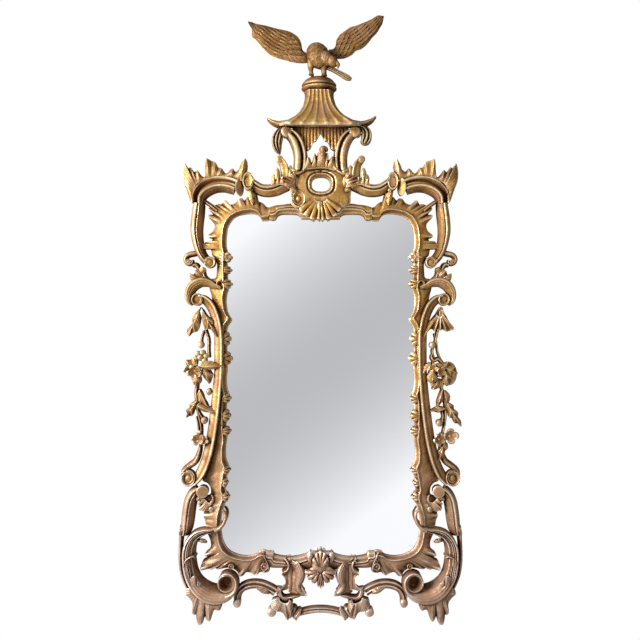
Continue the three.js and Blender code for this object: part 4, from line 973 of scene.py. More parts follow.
right_garland = [
    foliage([
        [330, 222, 334, 214, 0], [331, 214, 345, 196, 3], [331, 208, 353, 182, -2],
        [332, 204, 366, 163, 5], [331, 200, 353, 157, -3], [330, 198, 344, 155, 4],
        [329, 196, 334, 161, -4], [328, 196, 328, 157, 5], [326, 196, 320, 161, -4],
        [324, 196, 312, 156, 3], [322, 197, 304, 162, -4], [320, 198, 295, 156, 2],
        [318, 199, 282, 138, 5], [318, 202, 284, 152, 0], [319, 206, 292, 172, -3],
        [321, 210, 298, 182, 3], [324, 214, 312, 198, -2], [327, 220, 322, 214, 0],
    ], root=50, rim=42, back=16, camber=4),
    dome(329, 207, (8, 17), 50, high=0.5),
    stalk([322, 160, 5, 42], [316, 132, 4, 42], [307, 102, 4, 42], [311, 80, 4, 44],
          [303, 58, 5, 44]),
    stalk([312, 150, 3, 40], [318, 125, 3.5, 42], [322, 98, 3.5, 42], [332, 72, 4, 44]),
    dome(307, 118, (9.5, 10), 48),
    band([[304, 92, 3, 44], [305, 82, 5, 48], [312, 76, 6, 49], [322, 80, 6, 50],
          [330, 74, 6, 50], [338, 64, 5, 48]], stem_round, back=16, steps=60),
    lobed((338, 56), (374, 44), [
        [336, 68, 0], [349, 74, 4], [357, 68, -3], [368, 60, 4], [371, 50, -3], [375, 40, 4],
        [364, 36, -3], [356, 30, 3], [346, 34, 0]], high=52, low=45),
    lobed((342, 46), (346, 8), [
        [352, 40, 0], [362, 28, 3], [358, 20, -3], [352, 10, 4], [344, 6, 0], [337, 14, 3],
        [333, 26, -2], [334, 38, 0]], high=54, low=46),
    dome(354, 40, (20, 32), 47, high=0.45, tilt=(0.2, 0.0)),
    dome(325, 50, (22, 20), 50, high=0.5, tilt=(0.0, 0.2)),
    dome(320, 14, (19, 14), 46, high=0.5),
    dome(305, 29, (14.5, 15), 55, high=0.5, tilt=(0.2, 0.1)),
    whorl(330, 46, 15, 54, petals=4, turn=0.3, tilt=(-0.2, 0.1)),
    lobed((306, 52), (306, 16), [
        [316, 46, 0], [320, 32, 2], [314, 19, -1], [306, 14, 3], [297, 19, -1], [293, 33, 2],
        [297, 47, 0]], high=56, low=48),
    whorl(308, 55, 14, 50, petals=4, turn=0.5, tilt=(0.15, -0.1)),
    lobed((302, 66), (280, 38), [
        [300, 72, 0], [289, 66, 2], [279, 54, 0], [277, 40, 3], [284, 44, -2], [292, 54, 0]],
        high=48, low=42),
    lobed((320, 26), (312, -4), [
        [328, 20, 0], [328, 8, 2], [318, -2, -1], [305, -3, 4], [309, 8, -2], [314, 20, 0]],
        high=48),
    stalk([336, 20, 6, 44], [333, 2, 5, 44], [336, -16, 5, 44], [342, -40, 5, 43],
          [343, -66, 5, 43], [342, -92, 4, 43], [337, -118, 4, 43], [332, -150, 4, 43],
          [326, -178, 3, 42]),
    lobed((337, -4), (346, -44), [
        [344, -6, 0], [354, -18, 3], [354, -32, 0], [346, -45, 3], [340, -30, -2],
        [337, -14, 0]], high=48),
    lobed((334, -2), (320, -50), [
        [338, -14, 0], [336, -32, 2], [328, -44, -1], [320, -51, 4], [318, -38, -2],
        [322, -24, 2], [328, -8, 0]], high=50),
    lobed((345, -40), (383, -104), [
        [351, -38, 0], [364, -46, 4], [366, -56, -3], [377, -66, 4], [377, -78, -3],
        [384, -88, 2], [385, -105, 5], [375, -97, -2], [366, -95, 3], [362, -84, -3],
        [352, -80, 3], [349, -68, -3], [343, -54, 0]], high=50),
    lobed((341, -56), (299, -64), [
        [335, -50, 0], [322, -49, 3], [312, -53, -2], [299, -63, 4], [311, -64, -2],
        [322, -67, 2], [334, -62, 0]], high=48),
    stalk([332, -60, 4, 42], [336, -80, 4, 42], [328, -92, 4, 44]),
    dome(326, -95, (9.5, 10), 50),
    whorl(356, -130, 22, 50, petals=4, turn=0.9, tilt=(0.1, 0.1)),
    whorl(325, -140, 18, 50, petals=5, turn=0.2, tilt=(-0.2, 0.0)),
    *[dome(x, z, 6, 53, high=0.9) for x, z in [(354, -130), (324, -139), (332, -128)]],
    lobed((338, -146), (324, -197), [
        [348, -150, 0], [349, -164, 3], [342, -172, -3], [338, -184, 3], [324, -197, 5],
        [324, -182, -2], [322, -172, 2], [328, -162, -3], [330, -150, 0]], high=48),
]
carving("right_garland", right_garland)

left_garland = [
    lobed((328, 222), (361, 144), [
        [333, 216, 0], [345, 203, 4], [353, 187, -2], [351, 178, -3], [364, 162, 4],
        [367, 152, -2], [361, 142, 5], [353, 150, -3], [344, 153, 3], [336, 157, -3],
        [331, 172, 2], [327, 192, 0]]),
    lobed((326, 222), (290, 148), [
        [324, 198, 0], [322, 178, 3], [316, 160, -3], [309, 162, 3], [300, 160, -3],
        [290, 147, 2], [283, 141, 5], [287, 160, 3], [295, 171, -4], [305, 175, -3],
        [294, 180, 5], [297, 189, 1], [309, 199, -3], [319, 213, 0]]),
    stalk([316, 162, 5, 42], [307, 134, 4.5, 42], [307, 108, 4.5, 42], [306, 84, 5, 44]),
    stalk([320, 158, 4, 40], [326, 138, 4, 42], [327, 124, 4, 44]),
    dome(327, 119, (8.5, 10), 48),
    *[dome(x, z, r, front) for x, z, r, front in [
        (336, 94, 9, 47), (323, 97, 8, 48), (329, 84, 9, 51), (314, 88, 8, 48),
        (341, 81, 7, 50), (318, 76, 8, 50)]],
    lobed((338, 64), (374, 60), [
        [336, 78, 0], [349, 86, 4], [357, 79, -3], [368, 78, 4], [369, 68, -3], [366, 59, -1],
        [375, 46, 5], [362, 42, -3], [350, 44, 2], [340, 50, 0]], high=53, low=45),
    whorl(344, 44, 22, 51, petals=5, turn=0.5, tilt=(0.1, 0.25)),
    dome(341, 50, (8, 8), 55, high=0.9),
    lobed((330, 60), (268, 61), [
        [324, 73, 0], [304, 76, 3], [286, 68, -1], [267, 61, 4], [284, 55, -2], [300, 51, 3],
        [322, 52, 0]], high=56, low=48),
    lobed((320, 58), (304, 13), [
        [328, 48, 0], [323, 36, 3], [318, 26, -3], [311, 20, 2], [304, 12, 4], [298, 24, -2],
        [294, 37, 3], [299, 46, -3], [305, 57, 0]], high=50, low=43),
    lobed((340, 40), (339, 2), [
        [349, 32, 0], [350, 18, 3], [345, 10, -2], [339, 3, 4], [332, 10, -3], [326, 19, 3],
        [327, 31, 0]], high=55, low=47),
    stalk([339, 12, 6, 44], [341, -14, 6.5, 44], [339, -32, 7, 44], [338, -50, 6, 44],
          [334, -74, 5, 44], [328, -104, 5, 43], [328, -135, 5, 43]),
    dome(306, -10, (7.5, 10), 42, back=8),
    lobed((332, -2), (309, -50), [
        [338, -16, 0], [333, -34, 3], [324, -43, -2], [315, -51, 1], [307, -50, 4],
        [311, -39, -3], [317, -30, 2], [321, -16, -2], [328, -4, 0]], high=50),
    lobed((340, -36), (367, -78), [
        [346, -34, 0], [358, -43, 4], [359, -53, -3], [369, -60, 4], [366, -69, -3],
        [368, -80, 5], [357, -76, -3], [350, -75, 3], [345, -62, -3], [340, -50, 0]], high=50),
    lobed((338, -46), (286, -74), [
        [331, -38, 0], [316, -47, 3], [300, -51, -2], [289, -61, 2], [285, -76, 5],
        [295, -68, -3], [307, -66, 3], [321, -64, -2], [334, -56, 0]], high=50),
    stalk([336, -60, 4, 42], [330, -72, 4, 44], [322, -84, 5, 46]),
    dome(318, -88, (9.5, 10), 50),
    stalk([340, -78, 3, 42], [336, -98, 4, 44], [334, -116, 4, 44]),
    whorl(335, -138, 19, 52, petals=5, turn=0.8, tilt=(0.1, 0.1)),
    whorl(319, -142, 14, 48, petals=5, turn=0.3, tilt=(-0.2, 0.1)),
    *[dome(x, z, 6, 54) for x, z in [(330, -130), (342, -134), (334, -144), (322, -138)]],
    scroll_eye(299, -148, (6, 8), 46, back=16, dish=0.8, ball=0.1),
    stalk([316, -146, 3, 42], [308, -141, 3.5, 44], [300, -141, 3, 44]),
]
carving("left_garland", across_to_left(left_garland))


# ---------------------------------------------------------------------------------------
# Apron: two arched scrolls meet leafy brackets under the bottom rail, a shell hangs
# between them and a bowed rail ties their feet. Pine, glued edge to edge.
carving_pair("apron_scroll", [
    band([[229, -592, 9, 40], [228, -570, 11, 42], [219, -554, 12, 42], [204, -545, 13, 42],
          [184, -541, 13, 42], [163, -543, 13, 42], [143, -551, 13.5, 42], [124, -562, 14, 42]],
         [(-1, 0.05), (-0.98, 0.35), (-0.8, 0.62), (-0.55, 0.8), (-0.25, 0.92), (-0.12, 1.0),
          (0.02, 0.99), (0.12, 0.86), (0.3, 0.8), (0.5, 0.84), (0.75, 0.84), (0.92, 0.68),
          (1, 0.4), (1, 0.05)], steps=110),
    dome(229, -590, (11, 13), 44, back=8),
    leaf([[176, -545, 4, 42], [160, -552, 8, 46], [149, -556, 7, 46], [141, -564, 1, 42]],
         lobes=(0, 2), rows=40),
])

carving_pair("apron_bracket", [
    band([[82, -468, 13, 36], [83, -488, 13, 38], [84, -514, 12, 38], [83, -536, 12, 38],
          [86, -553, 12, 38]], stem_round, steps=60),
    foliage([
        [88, -478, 90, -466, 2], [87, -480, 84, -467, 5], [86, -484, 78, -471, -3],
        [85, -488, 71, -475, 0], [84, -492, 62, -475, 7], [84, -496, 54, -487, 3],
        [84, -500, 49, -491, -3], [84, -506, 42, -499, 3], [84, -514, 39, -511, 5],
        [84, -522, 44, -522, 5], [84, -530, 50, -530, 3], [84, -540, 51, -541, 0],
        [85, -548, 46, -552, 4], [86, -552, 41, -560, 3], [88, -556, 36, -567, 5],
        [88, -559, 52, -569, -3], [88, -561, 66, -566, -1],
    ], root=31, rim=43, camber=3, veins=0.0),
    band([[66, -479, 5, 47], [61, -492, 13, 51], [56, -508, 15, 54], [58, -525, 14, 53],
          [63, -540, 11, 50], [58, -553, 12, 50], [47, -561, 8, 48]],
         strokes, back=12, steps=80, to=stem_round),
    band([[98, -467, 4, 44], [90, -476, 5.5, 49], [87, -488, 5.5, 49], [92, -498, 6, 48],
          [104, -505, 5, 45]], stem_round, back=12, steps=60),
    foliage([
        [78, -476, 94, -467, 1], [78, -484, 98, -476, 5], [78, -490, 91, -484, -4],
        [77, -496, 93, -492, 2], [77, -502, 106, -507, 6], [77, -508, 104, -514, -4],
        [76, -516, 98, -522, -2], [76, -526, 96, -532, -2], [76, -538, 99, -542, -2],
        [78, -548, 107, -548, 1], [84, -552, 116, -556, 3], [94, -552, 122, -564, 0],
    ], root=34, rim=42, camber=-2, veins=0.0),
    band([[112, -548, 7, 44], [114, -558, 8, 45], [110, -570, 8, 46], [100, -576.5, 7, 47],
          [85, -575.5, 6.5, 48], [70, -571, 6, 50], [57, -569, 4, 48]], strokes, steps=70),
    foliage([
        [113, -572, 134, -580, 0], [112, -577, 134, -592, 2], [110, -581, 132, -600, 4],
        [107, -583, 122, -609, 4], [104, -585, 111, -612, -3], [101, -586, 102, -617, -4],
        [98, -587, 92, -633, 1], [95, -587, 85, -630, -4], [92, -587, 80, -612, 6],
        [89, -586, 76, -601, 2], [87, -582, 75, -590, -2], [86, -576, 76, -583, 0],
    ], root=50, rim=46),
    band([[116, -598, 9, 46], [124, -601, 10, 48], [133, -605, 10, 49]], stem_round, steps=30),
    dome(134, -613, (12.5, 12.5), 52, back=8, high=0.6),
    band([[54, -606, 4, 44], [61, -614, 9, 48], [69, -625, 10, 48], [67, -636, 3, 44]],
         strokes, steps=50),
    band([[78, -600, 5, 42], [72, -606, 9, 44], [78, -618, 10, 44], [84, -630, 4, 42]],
         stem_round, steps=40),
])

carving("apron_shell", [
    dome(0, -488, (23, 40), 48, back=10, high=0.4),
    dome(-14, -506, (20, 17), 46, back=10, high=0.4),
    dome(16, -504, (20, 17), 46, back=10, high=0.4),
    fanned(0, -490, (25, 45), 18, 162, 5, lift=5, inner=0.1, root=48, rim=52, back=10, camber=6),
    fanned(-4, -500, (38, 36), 172, 258, 3, lift=5, inner=0.1, root=51, rim=47, back=10, camber=7),
    fanned(4, -500, (39, 34), 8, -78, 3, lift=5, inner=0.1, root=52, rim=49, back=10, camber=7),
    fanned(0, -502, (17, 44), 228, 312, 3, lift=4, inner=0.1, root=55, rim=50, back=10, camber=3),
    dome(-29, -464, (8, 15), 46, back=10, high=0.7),
    dome(30, -465, (8, 15), 46, back=10, high=0.7),
])

apron_rail = band(
    [[-66, -621, 8, 42], [-42, -614.5, 9, 42], [-20, -610.5, 9, 42], [0, -609.5, 9, 42],
     [20, -610.5, 9, 42], [42, -614.5, 9, 42], [66, -621, 8, 42]],
    [(-1, 0.1), (-0.98, 0.4), (-0.8, 0.72), (-0.6, 0.86), (-0.35, 0.82), (-0.15, 0.96),
     (0.15, 1.0), (0.5, 0.97), (0.8, 0.8), (0.97, 0.45), (1, 0.1)], steps=90)
carving("apron_rail", [apron_rail])


# ---------------------------------------------------------------------------------------
# Crest: a pierced cartouche stands on the top rail between two arms with leafy ends; two
# scroll brackets on it carry the pagoda. Pine, carved singly, glued and screwed behind.
cartouche_edge = whole([
    [0, 598], [30, 600], [48, 600], [62, 598], [73, 595], [76, 588], [76, 580], [83, 574],
    [84, 562], [84, 545], [83.5, 525], [82, 507], [72, 496], [60, 486], [54, 478], [46, 474],
    [30, 472], [0, 472]])


def pierced(outline, middle, hole, relief, around=150, rings=26, back=8.0):
    """A plate with an oval hole: rings run from the hole, (|x|/a)^2.6 + (|z|/b)^2.6 = 1,
    out to the drawn outline, and relief(from the hole in mm, share, angle) is its face.
    The hole's rim is drawn twice, so that it shades as a sharp edge, and the last row
    of quads leads back to the first, so that no fans are needed."""
    line = np.array(outline, float) - middle
    turn = np.arctan2(line[:, 1], line[:, 0])
    order = np.argsort(turn)
    angle = np.linspace(-np.pi, np.pi, around, endpoint=False)
    far = np.interp(angle, turn[order], np.hypot(*line[order].T), period=2 * np.pi)
    c = np.abs(np.cos(angle)) / hole[0]
    s = np.abs(np.sin(angle)) / hole[1]
    near = (c**2.6 + s**2.6) ** (-1 / 2.6)
    q = np.linspace(0, 1, rings)[:, None] ** 1.3
    reach = near + (far - near) * q
    face = relief(reach - near, q, angle)
    reach = np.vstack([reach, far, near])
    forward = np.vstack([face, 0 * far + back, 0 * near + back])
    plan = np.dstack([middle[0] + reach * np.cos(angle), forward,
                      middle[1] + reach * np.sin(angle)])
    spokes = np.concatenate([plan, plan[:1]]).transpose(1, 0, 2)
    points, quads, _ = skin(np.concatenate([spokes, spokes[:1]]))
    count = spokes.shape[0] * spokes.shape[1]
    return points[:count], quads % count, np.zeros((0, 3), int)


def cartouche_face(out, share, angle):
    """A bevel rises from the hole to a bead 8 mm out; then the field falls away, gouged
    with flutes = 3.2 * share * (|sin(6 a + 0.6 share)|^0.6 - 0.6)."""
    bevel = 36 + 11 * (out / 6.5).clip(0, 1) ** 0.6
    bead = 2 * np.exp(-(((out - 8) / 1.5) ** 2))
    cove = -4.5 * np.exp(-(((out - 12.5) / 2.4) ** 2))
    field = -10 * ((share - 0.3).clip(0) / 0.7) ** 1.6
    flutes = 3.2 * (np.abs(np.sin(6 * angle + 0.6 * share)) ** 0.6 - 0.6) * share
    return bevel + bead + cove + field + flutes


plume = [
    [-41, 596, -44, 603, 0], [-37, 597, -41, 617, 2], [-33, 598, -34, 632, 6],
    [-29, 599, -28, 628, 0], [-24, 600, -24, 618, -5], [-19, 600, -20, 630, 1],
    [-14, 601, -16, 642, 5], [-10, 601, -10, 636, -4], [-5, 601, -8, 644, 2],
    [0, 601, -2, 650, 6], [4, 601, 4, 652, 7], [8, 601, 10, 650, 4], [12, 601, 16, 644, -3],
    [15, 600, 21, 642, 5], [18, 600, 22, 626, -6], [22, 599, 25, 626, 2],
    [27, 598, 32, 634, 6], [32, 597, 38, 626, -1], [36, 596, 41, 612, -3], [41, 595, 46, 602, 0],
]
cartouche = [
    pierced(cartouche_edge, (1, 560), (25, 20), cartouche_face),
    fanned(-4, 524, (64, 65), 206, 262, 3, lift=4.5, inner=0.2, root=49, rim=49, back=10),
    fanned(6, 524, (58, 64), 278, 334, 3, lift=4.5, inner=0.2, root=51, rim=51, back=10),
    fanned(1, 520, (24, 61), 240, 300, 2, lift=4, inner=0.2, root=52, rim=50, back=10),
    foliage(plume, root=46, rim=48, camber=5),
    band([[-2, 622, 6, 46], [2, 640, 8, 52], [6, 655, 9, 54], [14, 656, 7, 50],
          [17, 649, 4, 46]], stem_round, back=30, steps=60),
    dome(-2, 497, (7, 15), 55, back=10, high=0.5),
    band([[-52, 598, 3, 46], [-28, 601, 5, 49], [2, 603, 5.5, 50], [30, 601, 5, 49],
          [52, 598, 3, 46]], stem_round, steps=60),
    scroll_eye(-60, 519, (20, 25), 48, dish=0.3, ball=1.3, start=120),
    dome(61, 518, (16, 22), 45, back=8, high=0.25),
]
cartouche_side = [
    band([[40, 599, 4, 46], [52, 592, 7, 50], [64, 587, 8, 51], [74, 590, 6, 49],
          [72, 598, 3, 47]], stem_round, steps=50),
    dome(69, 560, (13, 22), 46, back=8, high=0.6, tilt=(0.0, 0.2)),
]
cartouche += across_to_left(cartouche_side) + cartouche_side
carving("crest_cartouche", cartouche)

carving_pair("crest_arm", [
    band([[202, 574, 13, 48], [184, 558.5, 15, 50], [165, 546.5, 16.5, 50],
          [143, 543.5, 17, 50], [122, 548, 18, 50], [104, 557, 19, 50], [86, 564, 18, 50]],
         [(-1, 0.05), (-0.98, 0.4), (-0.88, 0.62), (-0.6, 0.74), (-0.3, 0.83), (-0.06, 0.87),
          (0.04, 0.8), (0.14, 0.82), (0.26, 0.97), (0.45, 1.0), (0.6, 0.95), (0.68, 0.86),
          (0.78, 0.88), (0.9, 0.72), (0.98, 0.45), (1, 0.05)], steps=120),
    scroll_eye(198, 567, (15, 25), 54, dish=0.25, ball=0.1, start=90),
    foliage([[136, 552, 133, 562, 0], [128, 553, 127, 572, 4], [122, 554, 121, 571, -3],
             [117, 555, 116, 579, 4], [110, 556, 111, 574, -3], [103, 556, 104, 578, 4],
             [97, 554, 98, 568, -2], [92, 550, 91, 558, 2], [88, 546, 84, 548, 0]],
            root=50, rim=51, back=30, camber=2),
    dome(127, 572, (7, 14), 49, back=28, high=0.5, tilt=(-0.2, 0.0)),
    dome(118, 580, (8, 24), 51, back=28, high=0.5),
    dome(82, 584, (8, 27), 50, back=28, high=0.5),
    dome(75, 578, (6, 20), 48, back=28, high=0.5),
    band([[99, 560, 12.5, 44], [97, 580, 12.5, 48], [98, 598, 12, 51], [102, 613, 11, 53],
          [109, 623, 10, 53], [114, 626, 9, 52]], ridged, back=28, steps=60),
    dome(112, 626, (10.5, 10.5), 54, back=30, high=0.5),
    foliage([[66, 575, 70, 588, 0], [68, 572, 80, 585, 3], [69, 568, 84, 577, -3],
             [70, 565, 96, 579, 4], [71, 562, 92, 571, -3], [72, 559, 108, 571, 5],
             [71, 556, 94, 562, -3], [70, 553, 97, 552, 4], [69, 550, 84, 548, -3],
             [67, 547, 80, 540, 3], [65, 545, 68, 536, 0]], root=50, rim=53, back=30, veins=0.2),
    leaf([[196, 560, 5, 40], [192, 540, 8, 44], [188, 520, 7, 44], [186, 502, 1.5, 42]],
         lobes=(0, 3)),
])

carving_pair("pagoda_bracket", [
    band([[57, 598, 19, 52], [54.5, 628, 19.5, 54], [57, 652, 19.5, 54], [64.5, 675, 19, 54],
          [76, 692, 17, 54], [90, 702, 13.5, 53]],
         [(-1, 0.05), (-0.97, 0.45), (-0.85, 0.78), (-0.7, 0.9), (-0.5, 0.9), (-0.34, 0.78),
          (-0.26, 0.66), (-0.16, 0.66), (-0.06, 0.86), (0.1, 0.99), (0.4, 1.0), (0.7, 0.92),
          (0.9, 0.72), (0.98, 0.4), (1, 0.05)], steps=90),
    dome(93, 702, (14, 14.5), 54.5, back=8, high=0.3, tilt=(0.2, -0.1)),
    leaf([[58, 600, 14, 44], [64, 596, 12, 50], [72, 594, 8, 50], [76, 588, 2, 46]],
         lobes=(2, 2), rows=36),
])


def valance():
    """A pleated cloth down to a drawn hem: forward = 35 + 4.5 * pleat * (0.4 + 0.6 v)
    + 5 v - 8 (x/80)^2, where pleat is |sin(pi x / 9.5)|^0.7 and v is the share down."""
    top = 720
    half_wide = 80
    behind = 18
    x = np.linspace(-half_wide, half_wide, 220)
    hem = np.array([[0, 699], [7, 688], [12, 678], [18, 676], [22, 672], [28, 658],
                    [36, 651], [44, 656], [52, 676], [62, 688], [72, 702], [80, 716]], float)
    low = np.interp(np.abs(x), hem[:, 0], hem[:, 1])
    v = np.linspace(0, 1, 18)
    z = top + (low[:, None] - top) * v
    x = x[:, None]
    pleat = np.abs(np.sin(np.pi * x / 9.5)) ** 0.7
    bow = 8 * (np.abs(x) / half_wide) ** 2
    forward = 35 + 4.5 * pleat * (0.4 + 0.6 * v) + 5 * v - bow
    x_front = x * (1 - 0.05 * (1 - v))
    back = 0 * x + behind
    ring_x = np.hstack([x_front, x * 0.98, x * 0.93])
    ring_f = np.hstack([forward, back, back])
    ring_z = np.hstack([z, z[:, -1:] + 1, z[:, :1]])
    return skin(np.dstack([ring_x, ring_f, ring_z]))


carving("pagoda_valance", [valance()])

roof_tall = 86
eave_height = 727
roof_wall = 8
roof_courses = np.array([  # share of the rise, half width at the wall, in front, depth, drop
    (-0.07, 112, 84, 99, 10), (-0.02, 114, 86, 101, 10), (0.0, 113.5, 86, 101, 10),
    (0.09, 94, 72, 99, 8), (0.22, 70, 54, 90, 4), (0.37, 56, 41, 80, 0),
    (0.58, 45, 32.5, 72, 0), (0.8, 40, 28, 67.5, 0), (1.0, 40, 26, 66, 0)])


def roof():
    """Half of a six-sided pagoda with hollow slopes: courses rise from eave to neck, and
    twelve ribs run up it, rib = 1.5 * |cos(13 pi t)|^5 with t round the three slopes."""
    rise = np.concatenate([[-0.07, -0.03], np.linspace(0, 1, 44)])
    _, side, face, deep, drop = (
        np.interp(rise, roof_courses[:, 0], column)[:, None] for column in roof_courses.T)
    corner = roof_wall + (deep - roof_wall) * 0.35
    t = np.linspace(0, 1, 133)[None]
    ramp = np.interp(t, [0.1, 0.3], [0, 1]) * np.interp(t, [0.7, 0.9], [1, 0])
    spread = np.where(ramp < 1, side * (1 - ramp) + face * ramp, face)
    x = np.where(ramp < 1, np.sign(t - 0.5) * spread, np.interp(t, [0.3, 0.7], [-1, 1]) * face)
    front = roof_wall + (corner - roof_wall) * np.interp(t, [0, 0.1, 0.9, 1], [0, 1, 1, 0])
    front = front + (deep - corner) * np.sin(ramp * np.pi / 2)
    off_wall = np.interp(t, [0, 0.06, 0.94, 1], [0, 1, 1, 0])
    rib = 1.5 * np.abs(np.cos(np.pi * 13 * t)) ** 5 * off_wall
    swell = 1 + 0.6 * (1 - rise[:, None])
    fall = -drop * (0.3 + 0.7 * ramp)
    lean = np.maximum(-4 * rise[:, None], -4)
    z = eave_height + roof_tall * rise[:, None] + fall
    return skin(np.dstack([x + lean, front + rib * swell, z]))


def eave_tip(hand, tip_x, tip_z):
    """An upturned eave corner: a tapering horn from the eave out to its drawn tip; one
    point of it stands at 0.9 of the tip's x and half way up from z 722 to the tip."""
    return band([[hand * 70, 733, 9, 48], [hand * 94, 728, 10, 46], [hand * 114, 726, 9.5, 44],
                 [hand * 0.9 * tip_x, 0.5 * tip_z + 361, 7, 41], [hand * tip_x, tip_z, 3, 36]],
                stem_round, steps=50)


carving("pagoda_roof", [roof(), eave_tip(1, 152, 747), eave_tip(-1, 146, 741)])

roof_leaf_left = [
    band([[106, 718, 4, 42], [112, 706, 9, 48], [118, 690, 15, 52], [120, 672, 14, 52],
          [117, 656, 10, 50], [112, 643.5, 2.5, 44]],
         [(-1, 0.1), (-0.95, 0.55), (-0.78, 0.95), (-0.6, 0.85), (-0.48, 0.6), (-0.34, 0.85),
          (-0.15, 1.0), (0.02, 0.85), (0.14, 0.6), (0.28, 0.84), (0.5, 0.98), (0.64, 0.8),
          (0.72, 0.62), (0.84, 0.75), (0.96, 0.5), (1, 0.1)], steps=70, back=18),
    leaf([[100, 718, 5, 40], [104, 708, 6, 46], [103, 696, 5, 46], [99, 686, 1, 42]],
         lobes=(2, 2), rows=36),
]
carving("left_roof_leaf", across_to_left(roof_leaf_left))
roof_leaf_right = [
    band([[104, 718, 5, 42], [118, 714, 9, 48], [126, 702, 14, 52], [126, 686, 14.5, 54],
          [121, 674, 12, 52], [119, 668, 5, 46]],
         [(-1, 0.1), (-0.95, 0.5), (-0.8, 0.9), (-0.64, 0.98), (-0.48, 0.8), (-0.36, 0.6),
          (-0.22, 0.9), (0.0, 1.0), (0.2, 0.88), (0.32, 0.65), (0.46, 0.88), (0.7, 0.98),
          (0.9, 0.75), (0.98, 0.4), (1, 0.1)], steps=70, back=18),
    leaf([[102, 716, 5, 40], [106, 704, 6, 46], [106, 694, 5, 46], [102, 687, 1, 42]],
         lobes=(2, 2), rows=36),
]
carving("right_roof_leaf", roof_leaf_right)


def turned_half(profile, middle, back=8.0, around=64, deeper=66 / 49):
    """Half of a turning against the wall: the profile of (radius, z, rope) swept through
    180 degrees, with radius + rope * |sin(14 a + 0.35 z)|, and stretched forward."""
    radius, z, rope = drawn(profile, 60).T[:, :, None]
    angle = np.linspace(0, np.pi, around)[None]
    out = radius + rope * np.abs(np.sin(14 * angle + 0.35 * z))
    x = middle - out * np.cos(angle)
    forward = back + deeper * out * np.sin(angle)
    return skin(np.dstack([x, forward, z + 0 * angle]))


carving("pagoda_cap", [turned_half(
    [(41, 813.3, 0), (42, 817, 0), (45.5, 820, 0), (48, 823, 0), (48.6, 827, 0.6),
     (46.5, 830, 0), (46, 831.5, 0), (48, 834, 0), (47.4, 838, 0), (45, 841, 0),
     (42, 845, 0), (37, 850, 0), (29, 854.6, 0)], -4.0)])


# ---------------------------------------------------------------------------------------
# Bird: a stooping bird with spread wings, its body carved in the round with the tail and
# legs, and the wings let into its shoulders. Pine, gilded over clay like the rest.


def plumage(x, forward, z, size, turn=0.0, rows=7, deep=0.05):
    """An egg of sizes (wide, deep, tall) in mm, turned in the drawing, with feathers in
    staggered rows round its long axis: ridge = 1 + deep * (mod(row + tip, 1) - 0.5) *
    sin(a), where tip is |sin(4.5 b)| / 2 and every other row is a quarter turn on."""
    a = np.linspace(0, np.pi, 56)[:, None]
    b = np.linspace(0, 2 * np.pi, 72, endpoint=False)[None]
    step = rows * a / np.pi
    odd = np.floor(step) % 2
    tip = 0.5 * np.abs(np.sin(4.5 * b + odd * np.pi / 2))
    ridge = 1 + deep * (np.mod(step + tip, 1.0) - 0.5) * np.sin(a)
    east = size[0] * ridge * np.sin(a) * np.cos(b)
    front = size[1] * ridge * np.sin(a) * np.sin(b)
    north = size[2] * ridge * np.cos(a) + 0 * b
    c, s = np.cos(turn), np.sin(turn)
    ring = np.dstack([x + east * c + north * s, forward + front, z - east * s + north * c])
    return skin(ring[1:-1])


def limb(points):
    """A round bar in space through drawn points [x, z, radius, forward]: each ring is
    radius * cos(angle) across the line and radius * sin(angle) forward."""
    x, z, radius, forward = drawn(points, 14 * len(points)).T[:, :, None]
    way = sides(np.hstack([x, z]))
    angle = np.linspace(0, 2 * np.pi, 20, endpoint=False)[None]
    out = radius * np.cos(angle)
    return skin(np.dstack([x + way[:, :1] * out, forward + radius * np.sin(angle),
                           z + way[:, 1:] * out]))


bird = [
    plumage(-6, 46, 909, (31, 29, 38), turn=-0.5, rows=8),
    plumage(14, 60, 899, (18, 18, 24), turn=-0.7, rows=6),
    plumage(32, 66, 889, (14, 13, 18), turn=-0.8, rows=5, deep=0.04),
    limb([[40, 886, 8, 68], [47, 880, 6, 70], [48, 874, 3.5, 70], [46, 868.5, 1.2, 68]]),
    limb([[-24, 900, 12, 46], [-26, 880, 9.5, 48], [-26, 868, 6, 46], [-24, 858, 6, 46],
          [-26, 853.5, 9, 50]]),
    limb([[6, 900, 14, 46], [8, 882, 12, 48], [9, 870, 8, 46], [10, 860, 7, 46],
          [10, 853.5, 9, 50]]),
    band([[18, 880, 8, 50], [36, 871, 7, 51], [56, 860, 7.5, 51], [74, 850, 8.5, 50],
          [85, 845.5, 4, 48]],
         [(-1, 0.2), (-0.9, 0.7), (-0.6, 1.0), (-0.3, 0.85), (0, 1.0), (0.3, 0.85), (0.6, 1.0),
          (0.9, 0.7), (1, 0.2)], back=41, steps=60),
]
carving("bird_body", bird)


